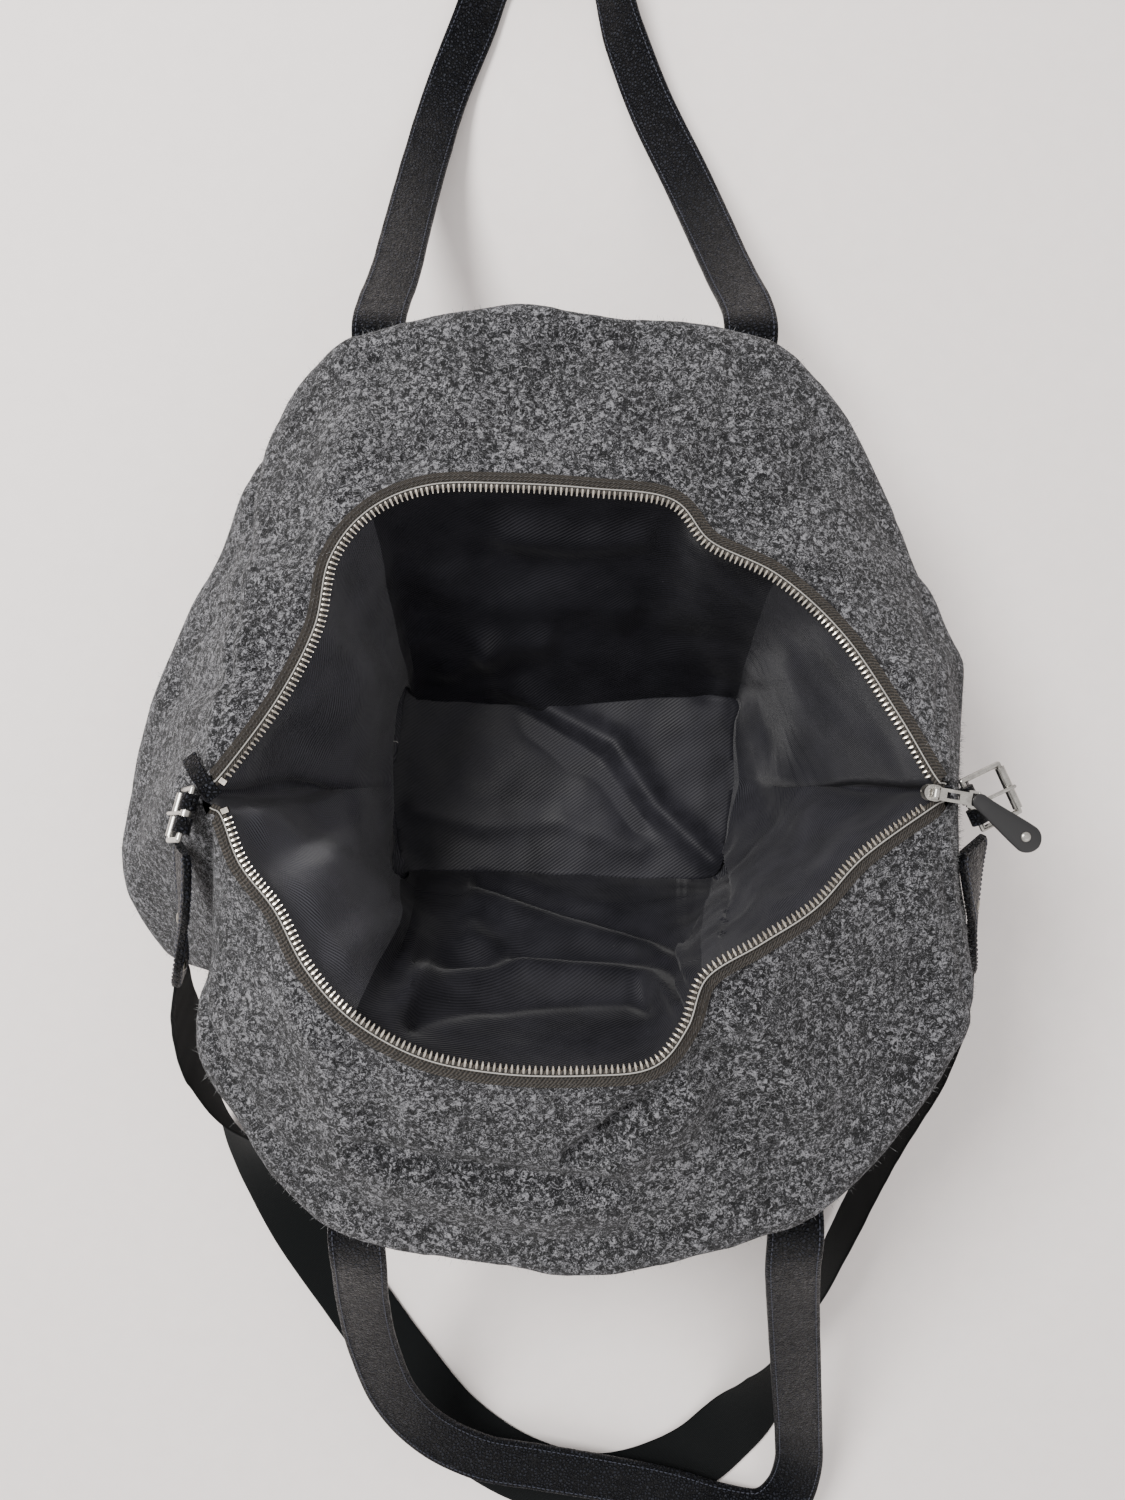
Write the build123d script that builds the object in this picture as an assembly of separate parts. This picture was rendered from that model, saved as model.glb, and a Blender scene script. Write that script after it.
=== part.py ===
"""A soft weekender bag, standing on its base with its mouth unzipped and both carry handles
and the shoulder strap laid out on the floor.

Frame: origin at the centre of the base's underside, +X along the bag's length towards the zip
slider's end, +Y towards the back, +Z up.  Millimetres.
"""
from build123d import *
import math
import os

os.makedirs("parts", exist_ok=True)

# ---------------------------------------------------------------- driving dimensions
BASE_DEPTH = 220.0          # front to back, at the floor
BASE_HALF = BASE_DEPTH / 2
WOOL = 2.5                  # thickness of the wool cloth
SKIN_GAP = 0.5              # between the wool and the lining
LINING = 1.0                # thickness of the lining
BOARD = 3.0                 # base stiffener
TAPE_WIDTH = 8.0            # zip tape that shows beside the teeth
TAPE = 1.2                  # zip tape thickness
TOOTH_BAR = 3.2             # width and height of a row of teeth
HANDLE_WIDTH = 34.0
HANDLE = 4.0                # two layers of leather
WEBBING_WIDTH = 50.0
WEBBING = 1.8
STRAP_END_WIDTH = 25.0      # leather ends of the shoulder strap
STRAP_END = 3.6
ROD = 1.6                   # radius of the buckle wire
ROLLER = 2.7                # outer radius of a buckle roller
BUCKLE_INSIDE = 26.0        # room for the strap between the buckle's two sides
BUCKLE_REACH = 24.0         # heel bar to roller bar, centre to centre
RUNNING = 0.06              # radial clearance of a running fit
SEW_GAP = 0.3               # room left between pieces that are sewn side by side
RIVET_HEAD = 3.2            # radius of a rivet head
COLUMNS_PER_STATION = 2     # smoothness of the shell around the bag
WALL_SHARES = (0, 0.35, 0.7, 1)     # levels of the shell up its wall, and again over its flap
BEND_SHARES = (0.25, 0.5, 0.75)     # levels round the bend at the fold
BEND_BELOW = 0.12           # share of the wall that the bend takes up
BEND_ABOVE = 0.16           # share of the flap that the bend takes up
BASE_INSET = 4.0            # the base panel inside the walls' outline
BOARD_INSET = 7.0
FLOOR_LINING_INSET = 6.0

SLIDER_PLACE = (205.5, -0.5, 239.6)
SLIDER_LENGTH = 11.0
SLIDER_WIDTH = 9.0
SLIDER_PLATE = 1.2
SLIDER_ROOM = TOOTH_BAR + 2.4      # height between the slider's plates
PULLER_AXIS_HEIGHT = 3.6           # pull axis above the slider's middle
PULLER_LENGTH = 22.0
PULLER_WIDTH = 7.0
PULLER = 1.6
PULL_LENGTH = 41.0
PULL_WIDTH = 16.0
PULL = 2.6
PIN = 0.9                          # radius of the slider's bridge bar
PIN_SPAN = 6.4                     # length of the bridge bar
EAR = (2.2, 1.2)                   # slider ear, along and across
EAR_OFFSET = 2.8                   # slider ears either side of the middle
POST = (2.6, 0.9)                  # post between the slider's plates
POST_PLACE = -4.0
PULLER_EYE = PIN + 1.2             # outer radius of the puller's eye
PULLER_EYE_SPAN = 4.2
PULLER_NECK = (2.4, 4.0)
PULLER_SLOT = (7.0, 3.4)
PULLER_SLOT_SHARE = 0.42           # where the slot stands along the puller
PULLER_ARM = (5.0, 1.4)
PULLER_ARM_OFFSET = 4.2            # arms that hold the end bar, either side of the middle
PULLER_YOKE = (2.0, 9.6)
END_BAR_SPAN = 9.0
END_BAR_REACH = PULLER_LENGTH + 1.2    # bridge bar to end bar
PULL_LOOP = PIN + 1.6              # outer radius of the leather loop round the end bar
PULL_LOOP_SPAN = 6.6
PULL_NECK_HALF = 2.4               # half-widths of the leather pull, and where they stand
PULL_SHOULDER_HALF = 5.6
PULL_START = 1.6
PULL_SHOULDER = PULL_LENGTH - 12.0
PULL_CENTRE = PULL_LENGTH - PULL_WIDTH / 2 - 1.0
TOP_STOP = (3.0, 4.0, 3.6)
TOP_STOP_GAP = 0.15
RIVET_PROUD = 1.6                  # added to the leather's thickness, both heads together
PULL_HEADING = -38.0               # degrees from +X to the leather pull
PULLER_HEADING = -10.0

# Right-hand and left-hand ends of the bag, as stations round the shell.  A row holds a point of
# the base outline, a point of the fold (the bag's widest line) and a point of the mouth's edge.
RIGHT_GUSSET = [
    ((227, -80), (240, -90, 188), (213, -12, 237)),
    ((231, -40), (241, -38, 178), (218, -7, 236)),
    ((232, 5), (246, 14, 168), (220, 0, 235)),
    ((230, 55), (249, 75, 160), (217, 6, 234)),
]
LEFT_GUSSET = [
    ((-229, 62), (-222, 148, 134), (-198, 7, 230)),
    ((-232, 20), (-258, 66, 130), (-201, 3, 229)),
    ((-232, -20), (-285, -16, 122), (-202, -3, 229)),
    ((-231, -60), (-285, -70, 108), (-201, -9, 230)),
    ((-225, -90), (-268, -112, 93), (-198, -14, 232)),
]
# Back and front panels: the third point lies on the row of teeth.  The rows run from the right
# end of the zip to the left along the back, then from the left end to the right along the front.
BACK_PANEL = [
    ((224, 98), (226, 135, 155), (205, 6, 239)),
    ((196, 109), (203, 188, 155), (187, 42, 228)),
    ((155, 110), (172, 236, 161), (160, 87, 216)),
    ((110, 110), (138, 270, 168), (125, 121, 210)),
    ((75, 110), (100, 281, 172), (86, 141, 208)),
    ((50, 110), (66, 285, 174), (64, 165, 208)),
    ((15, 110), (20, 288, 176), (20, 171, 208)),
    ((-25, 110), (-28, 291, 176), (-30, 174, 208)),
    ((-65, 110), (-70, 286, 174), (-75, 173, 208)),
    ((-100, 110), (-108, 281, 169), (-108, 159, 209)),
    ((-130, 110), (-134, 277, 162), (-129, 132, 211)),
    ((-160, 110), (-152, 266, 155), (-137, 92, 215)),
    ((-190, 107), (-172, 246, 148), (-157, 50, 221)),
    ((-220, 97), (-192, 209, 140), (-185, 7, 235)),
]
FRONT_PANEL = [
    ((-214, -104), (-226, -122, 138), (-184, -12, 236)),
    ((-195, -109), (-212, -128, 192), (-172, -38, 242)),
    ((-172, -110), (-208, -156, 202), (-151, -62, 250)),
    ((-148, -110), (-190, -190, 207), (-133, -92, 257)),
    ((-118, -110), (-165, -226, 210), (-108, -117, 263)),
    ((-80, -110), (-122, -256, 213), (-72, -136, 266)),
    ((-35, -110), (-62, -270, 214), (-30, -144, 267)),
    ((10, -110), (0, -278, 215), (15, -145, 267)),
    ((50, -110), (52, -273, 215), (48, -141, 267)),
    ((85, -110), (96, -262, 212), (65, -122, 266)),
    ((115, -110), (138, -251, 210), (76, -95, 265)),
    ((145, -110), (168, -235, 206), (106, -77, 262)),
    ((170, -110), (192, -208, 203), (136, -59, 256)),
    ((195, -109), (220, -172, 199), (163, -33, 248)),
    ((215, -104), (238, -132, 195), (202, -7, 240)),
]

# Carry handles and shoulder strap: centre-line points with the roll of the strap in degrees
# (0 lies flat, 90 stands on edge).
FRONT_HANDLE = [
    ((-121, -267.8, 188), 0), ((-121.3, -292, 176), 0), ((-125, -330, 142), 0),
    ((-125, -376, 105), 0), ((-116, -429, 70), 0), ((-94, -470, 45), 0),
    ((-59, -496, 32), 0), ((-15, -509, 24), 0), ((32, -520, 19), 0),
    ((80, -532, 15), 0), ((118, -545, 14), 8), ((150, -549, 17), 25),
    ((168, -532, 22), 30), ((174, -500, 36), 15), ((169, -458, 62), 0),
    ((160, -400, 98), 0), ((151, -345, 134), 0), ((142, -294, 175), 0),
    ((141, -267.8, 188), 0),
]
BACK_HANDLE = [
    ((121, 291.6, 149), 0), ((120, 312, 132), 0), ((115, 342, 103), 0),
    ((106, 389, 66), 5), ((92, 443, 34), 15), ((68, 506, 15), 25),
    ((48, 560, 14), 35), ((38, 596, 16), 50), ((26, 622, 18), 70),
    ((0, 636, 19), 75), ((-28, 628, 18), 65), ((-50, 604, 14), 40),
    ((-66, 568, 9), 15), ((-86, 517, 10), 0), ((-99, 459, 28), 0),
    ((-106, 403, 60), 0), ((-110, 345, 103), 0), ((-113, 313, 132), 0),
    ((-114, 291.6, 149), 0),
]
# Roots of the handles: points of the leather in the YZ plane, from the foot of the sewn patch
# up the wall and out to the place where the handle bends.
FRONT_ROOT = [(-187, 107), (-211, 141), (-232, 171), (-248, 184), (-263.6, 188)]
BACK_ROOT = [(212, 84), (239, 110), (261, 131), (275, 143), (288.4, 149)]
ROOT_RIVETS = (0.12, 0.42)            # places of the rivets, as fractions of the root's length
HANDLE_LEGS = {
    "front_left": (-121, FRONT_ROOT), "front_right": (141, FRONT_ROOT),
    "back_left": (-114, BACK_ROOT), "back_right": (121, BACK_ROOT),
}
LEFT_STRAP_END = [
    ((-215, -33, 217), -58), ((-217, -58, 209), -62), ((-221, -80, 198), -68),
    ((-227, -100, 184), -74), ((-233, -117, 167), -80),
]
RIGHT_STRAP_END = [
    ((238, -31, 212), 32), ((243, -52, 198), 48), ((249, -75, 182), 60),
    ((254, -96, 165), 72), ((258, -113, 148), 80),
]
SHOULDER_STRAP = [
    ((-233.2, -117.6, 166.4), -80), ((-241, -138, 141), -86), ((-246, -160, 114), -90),
    ((-249, -188, 82), -88), ((-246, -226, 50), -76), ((-235, -264, 24), -46),
    ((-215, -302, 8), -14), ((-192, -342, 2.6), 0), ((-158, -390, 2.6), 0),
    ((-122, -440, 2.6), 0), ((-80, -490, 2.6), 0), ((-28, -524, 2.6), 0),
    ((32, -537, 2.6), 0), ((92, -520, 2.6), 0), ((136, -484, 4), -6),
    ((158, -448, 13), -35), ((172, -412, 24), -64), ((190, -372, 28), -84),
    ((210, -330, 29), -90), ((230, -286, 34), -90), ((246, -240, 52), -90),
    ((257, -196, 82), -90), ((262, -158, 112), -88), ((261, -130, 134), -84),
    ((258.2, -113.6, 147.4), -80),
]
WEBBING_GATHER = 110.0       # length over which the webbing narrows into its leather ends
STRAP_RIVETS = (0.45, 0.85)   # places along the leather ends

# Buckles: middle of the heel bar, direction to the roller, and direction of the bars.
RIGHT_BUCKLE = ((231.5, -8, 229), (0.90, 0.41, -0.15), (-0.41, 0.91, 0.0))
LEFT_BUCKLE = ((-205, -12, 241), (-0.51, -0.08, -0.85), (-0.20, -0.95, 0.21))
PRONG = 1.1                  # radius of the prong
PRONG_EYE = 3.2              # its length along the heel bar
PRONG_WALL = 1.4             # wall of the prong's eye
PRONG_RISE = 0.8             # heel end of the prong above the bar
PRONG_PAST = 1.5             # tip of the prong past the roller
ROLLER_PLAY = 1.0            # end play of the roller between the frame's sides
TAB_CLEAR = 0.2              # radial room between the heel bar and the tab's loops
TAB_SETBACK = 0.8
TAB_LEATHER = 3.0
TAB_WIDTH = 22.0
RIGHT_TAB = (20.0, 60.0)      # length, and degrees from the buckle's plane down to the tab
LEFT_TAB = (12.0, 14.0)


# ---------------------------------------------------------------- small vector helpers
def add(a, b, scale=1.0):
    return tuple(x + scale * y for x, y in zip(a, b))


def cross(a, b):
    return (a[1] * b[2] - a[2] * b[1], a[2] * b[0] - a[0] * b[2], a[0] * b[1] - a[1] * b[0])


def unit(a):
    size = math.sqrt(sum(x * x for x in a))
    return tuple(x / size for x in a)


def between(a, b, share):
    return tuple(x + share * (y - x) for x, y in zip(a, b))


def catmull_rom(p0, p1, p2, p3, t):
    """A point of the smooth curve from p1 (t=0) to p2 (t=1)."""
    def blend(a, b, c, d):
        bend = (2 * a - 5 * b + 4 * c - d) * t + (3 * b - a - 3 * c + d) * t * t
        return 0.5 * (2 * b + (c - a) * t + bend * t)
    return tuple(blend(*values) for values in zip(p0, p1, p2, p3))


def smooth_path(points, steps):
    """An open curve through the points, with steps spans between each pair."""
    first = add(points[0], add(points[0], points[1], -1))
    last = add(points[-1], add(points[-1], points[-2], -1))
    knots = [first] + list(points) + [last]
    path = []
    for i in range(1, len(knots) - 2):
        path += [catmull_rom(*knots[i - 1:i + 3], s / steps) for s in range(steps)]
    return path + [tuple(points[-1])]


def faceted_solid(outer, inner):
    """A closed solid between two grids of points, with flat triangular faces."""
    faces = []

    def triangle(a, b, c):
        corners = [Vector(*a), Vector(*b), Vector(*c)]
        area = (corners[1] - corners[0]).cross(corners[2] - corners[0]).length
        if area > 1e-6:
            faces.append(Face(Wire.make_polygon(corners, close=True)))

    def quad(a, b, c, d):
        triangle(a, b, c)
        triangle(a, c, d)

    rows = len(outer) - 1
    columns = len(outer[0]) - 1
    for i in range(rows):
        for j in range(columns):
            for grid in (outer, inner):
                quad(grid[i][j], grid[i + 1][j], grid[i + 1][j + 1], grid[i][j + 1])
    for i in range(rows):
        for j in (0, columns):
            quad(outer[i][j], outer[i + 1][j], inner[i + 1][j], inner[i][j])
    for j in range(columns):
        for i in (0, rows):
            quad(outer[i][j], outer[i][j + 1], inner[i][j + 1], inner[i][j])
    solid = Solid(Shell(faces))
    if solid.volume < 0:
        solid = Solid(solid.wrapped.Reversed())
    return solid


# ---------------------------------------------------------------- the bag's shell
def chain_line(panel):
    return [row[2] for row in panel]


def side_of(points, i):
    """Horizontal unit vector away from the mouth's opening, at point i of a row of teeth."""
    before = points[max(i - 1, 0)]
    after = points[min(i + 1, len(points) - 1)]
    along = unit((after[0] - before[0], after[1] - before[1], 0))
    return (along[1], -along[0], 0)


def panel_stations(panel):
    """Stations of a panel, with the mouth's edge moved off the teeth by the tape's width."""
    line = chain_line(panel)
    reach = TAPE_WIDTH + 2 * SEW_GAP
    stations = []
    for i, (base, fold, chain) in enumerate(panel):
        edge = add(chain, side_of(line, i), reach)
        stations.append((base + (0,), fold, add(edge, (0, 0, -1))))
    return stations


def gusset_stations(rows):
    return [(base + (0,), fold, edge) for base, fold, edge in rows]


def section(base, fold, edge):
    """Points of the shell from the base, round the fold and in to the mouth's edge."""
    near_fold = between(fold, base, BEND_BELOW)
    past_fold = between(fold, edge, BEND_ABOVE)
    middle = between(near_fold, past_fold, 0.5)
    control = add(fold, add(fold, middle, -1))
    bend = []
    for t in BEND_SHARES:
        a = between(near_fold, control, t)
        b = between(control, past_fold, t)
        bend.append(between(a, b, t))
    wall = [between(base, near_fold, share) for share in WALL_SHARES]
    flap = [between(past_fold, edge, share) for share in WALL_SHARES]
    return wall + bend + flap


def shell_grid():
    """Columns of shell points all the way round, starting at the first back station."""
    stations = (panel_stations(BACK_PANEL) + gusset_stations(LEFT_GUSSET)
                + panel_stations(FRONT_PANEL) + gusset_stations(RIGHT_GUSSET))
    sections = [section(*station) for station in stations]
    count = len(sections)
    grid = []
    for i in range(count):
        four = [sections[(i + k) % count] for k in (-1, 0, 1, 2)]
        for s in range(COLUMNS_PER_STATION):
            share = s / COLUMNS_PER_STATION
            grid.append([catmull_rom(*rows, share) for rows in zip(*four)])
    return grid


def inward_offset(grid, distance):
    """The same grid moved into the bag along its local normal."""
    count = len(grid)
    levels = len(grid[0])
    moved = []
    for i in range(count):
        column = []
        for j in range(levels):
            around = add(grid[(i + 1) % count][j], grid[i - 1][j], -1)
            upward = add(grid[i][min(j + 1, levels - 1)], grid[i][max(j - 1, 0)], -1)
            column.append(add(grid[i][j], unit(cross(upward, around)), distance))
        moved.append(column)
    return moved


def columns(grid, first, last):
    """Columns between two station numbers, both included, wrapping past the end."""
    step = COLUMNS_PER_STATION
    return [grid[k % len(grid)] for k in range(first * step, last * step + 1)]


def panel_ranges():
    back = len(BACK_PANEL) - 1
    left = back + len(LEFT_GUSSET) + 1
    front = left + len(FRONT_PANEL) - 1
    right = front + len(RIGHT_GUSSET) + 1
    return {"back": (0, back), "left": (back, left), "front": (left, front),
            "right": (front, right)}


def base_plate(inset, low, high):
    """A plate inside the shell's base outline."""
    stations = RIGHT_GUSSET + BACK_PANEL + LEFT_GUSSET + FRONT_PANEL
    outline = [row[0] for row in stations]
    half_length = max(abs(x) for x, _ in outline)
    narrower = (half_length - inset) / half_length
    shallower = (BASE_HALF - inset) / BASE_HALF
    corners = [(x * narrower, y * shallower) for x, y in outline]
    plate = extrude(make_face(Polyline(*corners, close=True)), high - low)
    return plate.moved(Location((0, 0, low)))


def export(shape, node):
    export_step(shape, "parts/" + node + ".step")


def make_shell():
    outer = shell_grid()
    wool_inside = inward_offset(outer, WOOL)
    lining_outside = inward_offset(outer, WOOL + SKIN_GAP)
    lining_inside = inward_offset(outer, WOOL + SKIN_GAP + LINING)
    names = {"back": "back_panel", "left": "left_gusset", "front": "front_panel",
             "right": "right_gusset"}
    for side, (first, last) in panel_ranges().items():
        wool = faceted_solid(columns(outer, first, last), columns(wool_inside, first, last))
        export(wool, names[side])
        lining = faceted_solid(columns(lining_outside, first, last),
                               columns(lining_inside, first, last))
        export(lining, side + "_lining")
    top_of_board = WOOL + SEW_GAP + BOARD
    floor = top_of_board + SEW_GAP
    export(base_plate(BASE_INSET, 0, WOOL), "base_panel")
    export(base_plate(BOARD_INSET, WOOL + SEW_GAP, top_of_board), "base_board")
    export(base_plate(FLOOR_LINING_INSET, floor, floor + LINING), "base_lining")


# ---------------------------------------------------------------- the zip
def eye(inner, outer, length, middle):
    """A short tube about the Y axis."""
    tube = Cylinder(outer, length) - Cylinder(inner, length + 1)
    return (Rot(90, 0, 0) * tube).moved(Location((0, middle, 0)))


def ring_band(line, near, far, thickness, drop):
    """A band beside a row of teeth, from near to far off it, drop below its line."""
    path = smooth_path(line, 3)
    top = []
    bottom = []
    for i, point in enumerate(path):
        side = side_of(path, i)
        ends = [add(add(point, side, reach), (0, 0, -drop)) for reach in (near, far)]
        top.append(ends)
        bottom.append([add(end, (0, 0, -thickness)) for end in ends])
    return faceted_solid(top, bottom)


def make_zip():
    half = TOOTH_BAR / 2
    for side, panel in (("back", BACK_PANEL), ("front", FRONT_PANEL)):
        line = chain_line(panel)
        teeth = ring_band(line, -half, half, TOOTH_BAR, -half)
        tape = ring_band(line, half + 0.1, TAPE_WIDTH, TAPE, -TAPE / 2)
        export(teeth, side + "_zip_teeth")
        export(tape, side + "_zip_tape")
        path = smooth_path(line, 3)
        last, before = (path[-1], path[-2]) if side == "back" else (path[0], path[1])
        onward = unit((last[0] - before[0], last[1] - before[1], 0))
        stop_place = add(last, onward, TOP_STOP[0] / 2 + TOP_STOP_GAP)
        turn = math.degrees(math.atan2(onward[1], onward[0]))
        export(Box(*TOP_STOP).moved(Location(stop_place, (0, 0, turn))), side + "_top_stop")


def make_slider():
    level = SLIDER_ROOM / 2 + SLIDER_PLATE / 2
    plate = extrude(SlotOverall(SLIDER_LENGTH, SLIDER_WIDTH), SLIDER_PLATE / 2, both=True)
    post = Box(*POST, SLIDER_ROOM + SLIDER_PLATE).moved(Location((POST_PLACE, 0, 0)))
    bar_height = level + PULLER_AXIS_HEIGHT
    bridge_bar = Rot(90, 0, 0) * Cylinder(PIN, PIN_SPAN)
    ear = Box(*EAR, bar_height - level + PIN)
    ear_middle = (bar_height + level + PIN) / 2
    ears = [ear.moved(Location((0, side * EAR_OFFSET, ear_middle))) for side in (-1, 1)]
    slider = plate.moved(Location((0, 0, level))) + plate.moved(Location((0, 0, -level)))
    slider = slider + post + ears[0] + ears[1] + bridge_bar.moved(Location((0, 0, bar_height)))
    export(slider.moved(Location(SLIDER_PLACE, (0, 0, PULLER_HEADING))), "zip_slider")
    return add(SLIDER_PLACE, (0, 0, bar_height))


def make_puller(axis_point):
    """Metal puller lying along its own +X from the slider's bar, with an eye at each end."""
    head = eye(PIN + RUNNING, PULLER_EYE, PULLER_EYE_SPAN, 0)
    blade = Box(PULLER_LENGTH - 4.5, PULLER_WIDTH, PULLER)
    blade = blade.moved(Location((PULLER_LENGTH / 2 - 0.4, 0, 0)))
    slot_place = (PULLER_LENGTH * PULLER_SLOT_SHARE, 0, 0)
    slot = Box(*PULLER_SLOT, 3 * PULLER).moved(Location(slot_place))
    neck = Box(*PULLER_NECK, PULLER).moved(Location((PIN + 1.9, 0, 0)))
    end_bar = Rot(90, 0, 0) * Cylinder(PIN, END_BAR_SPAN)
    end_bar = end_bar.moved(Location((END_BAR_REACH, 0, 0)))
    arm = Box(*PULLER_ARM, PULLER)
    arms = [arm.moved(Location((PULLER_LENGTH - 0.9, side * PULLER_ARM_OFFSET, 0)))
            for side in (-1, 1)]
    yoke = Box(*PULLER_YOKE, PULLER).moved(Location((PULLER_LENGTH - 3.6, 0, 0)))
    puller = head + neck + (blade - slot) + yoke + arms[0] + arms[1] + end_bar
    export(puller.moved(Location(axis_point, (0, 0, PULLER_HEADING))), "zip_puller")
    heading = math.radians(PULLER_HEADING)
    return add(axis_point, (math.cos(heading), math.sin(heading), 0), END_BAR_REACH)


def make_pull(axis_point):
    """Leather pull: a sewn loop round the puller's end bar, widening to a round end."""
    bore = Rot(90, 0, 0) * Cylinder(PIN + RUNNING + 0.1, 8)
    loop = Rot(90, 0, 0) * Cylinder(PULL_LOOP, PULL_LOOP_SPAN)
    corners = ((PULL_START, -PULL_NECK_HALF), (PULL_SHOULDER, -PULL_SHOULDER_HALF),
               (PULL_SHOULDER, PULL_SHOULDER_HALF), (PULL_START, PULL_NECK_HALF))
    tongue = make_face(Polyline(*corners, close=True))
    round_end = Pos(PULL_CENTRE, 0) * Circle(PULL_WIDTH / 2)
    leather = extrude(Sketch() + tongue + round_end, PULL / 2, both=True)
    turn = Location((0, 0, 0), (0, 0, PULL_HEADING - PULLER_HEADING))
    body = loop + leather.moved(turn) - bore
    place = Location(axis_point, (0, 0, PULLER_HEADING))
    rivet = Cylinder(RIVET_HEAD, PULL + RIVET_PROUD)
    shank = rivet.moved(Location((PULL_CENTRE, 0, 0))).moved(turn)
    export((body - shank).moved(place), "leather_pull")
    export(shank.moved(place), "pull_rivet")


# ---------------------------------------------------------------- straps and handles
def strap_frames(stations, steps):
    """Points along a strap with its forward, wide and face directions."""
    points = smooth_path([point for point, _ in stations], steps)
    rolls = smooth_path([(roll, 0, 0) for _, roll in stations], steps)
    frames = []
    for i, point in enumerate(points):
        along = unit(add(points[min(i + 1, len(points) - 1)], points[max(i - 1, 0)], -1))
        level = unit(cross(along, (0, 0, 1)))
        rise = cross(level, along)
        roll = math.radians(rolls[i][0])
        wide = add(tuple(math.cos(roll) * x for x in level), rise, math.sin(roll))
        frames.append((point, along, wide, cross(wide, along)))
    return frames


def lengths_along(frames):
    """Distance of each point from the start of the strap."""
    lengths = [0.0]
    for before, after in zip(frames, frames[1:]):
        lengths.append(lengths[-1] + math.dist(before[0], after[0]))
    return lengths


def ribbon(stations, width, thickness, gather=0.0, steps=3):
    """A flat strap along a path; its ends narrow to half their width over the gather."""
    frames = strap_frames(stations, steps)
    lengths = lengths_along(frames)
    top = []
    bottom = []
    for (point, _, wide, face), reach in zip(frames, lengths):
        from_end = min(reach, lengths[-1] - reach)
        share = 1.0 if gather == 0 else min(1.0, 0.5 + 0.5 * from_end / gather)
        edges = [add(point, wide, half * share * width) for half in (-0.5, 0.5)]
        top.append([add(edge, face, thickness / 2) for edge in edges])
        bottom.append([add(edge, face, -thickness / 2) for edge in edges])
    return faceted_solid(top, bottom)


def rivets_through(stations, shares, thickness):
    """Rivets across a strap at the given fractions of its length."""
    frames = strap_frames(stations, 3)
    lengths = lengths_along(frames)
    rivets = []
    for share in shares:
        target = share * lengths[-1]
        nearest = min(range(len(frames)), key=lambda k: abs(lengths[k] - target))
        point, along, _, face = frames[nearest]
        plane = Plane(origin=point, x_dir=along, z_dir=face)
        rivets.append(plane.location * Cylinder(RIVET_HEAD, thickness + RIVET_PROUD))
    return rivets


def riveted_strap(stations, width, thickness, shares):
    strap = ribbon(stations, width, thickness)
    rivets = rivets_through(stations, shares, thickness)
    for rivet in rivets:
        strap = strap - rivet
    return strap, Compound(children=rivets)


def make_handles():
    export(ribbon(FRONT_HANDLE, HANDLE_WIDTH, HANDLE), "front_handle")
    export(ribbon(BACK_HANDLE, HANDLE_WIDTH, HANDLE), "back_handle")
    for name, (x, profile) in HANDLE_LEGS.items():
        stations = [((x, y, z), 0) for y, z in profile]
        root, rivets = riveted_strap(stations, HANDLE_WIDTH, HANDLE, ROOT_RIVETS)
        export(root, name + "_handle_root")
        export(rivets, name + "_root_rivets")


def make_strap():
    webbing = ribbon(SHOULDER_STRAP, WEBBING_WIDTH, WEBBING, WEBBING_GATHER)
    export(webbing, "shoulder_webbing")
    for side, stations in (("left", LEFT_STRAP_END), ("right", RIGHT_STRAP_END)):
        end, rivets = riveted_strap(stations, STRAP_END_WIDTH, STRAP_END, STRAP_RIVETS)
        export(end, side + "_strap_end")
        export(rivets, side + "_strap_rivets")


# ---------------------------------------------------------------- buckles
def bar(start, end, radius):
    """A round bar with ball ends between two points."""
    middle = between(start, end, 0.5)
    along = add(end, start, -1)
    cylinder = Plane(origin=middle, z_dir=along).location * Cylinder(radius, math.dist(start, end))
    return cylinder + Pos(*start) * Sphere(radius) + Pos(*end) * Sphere(radius)


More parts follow.
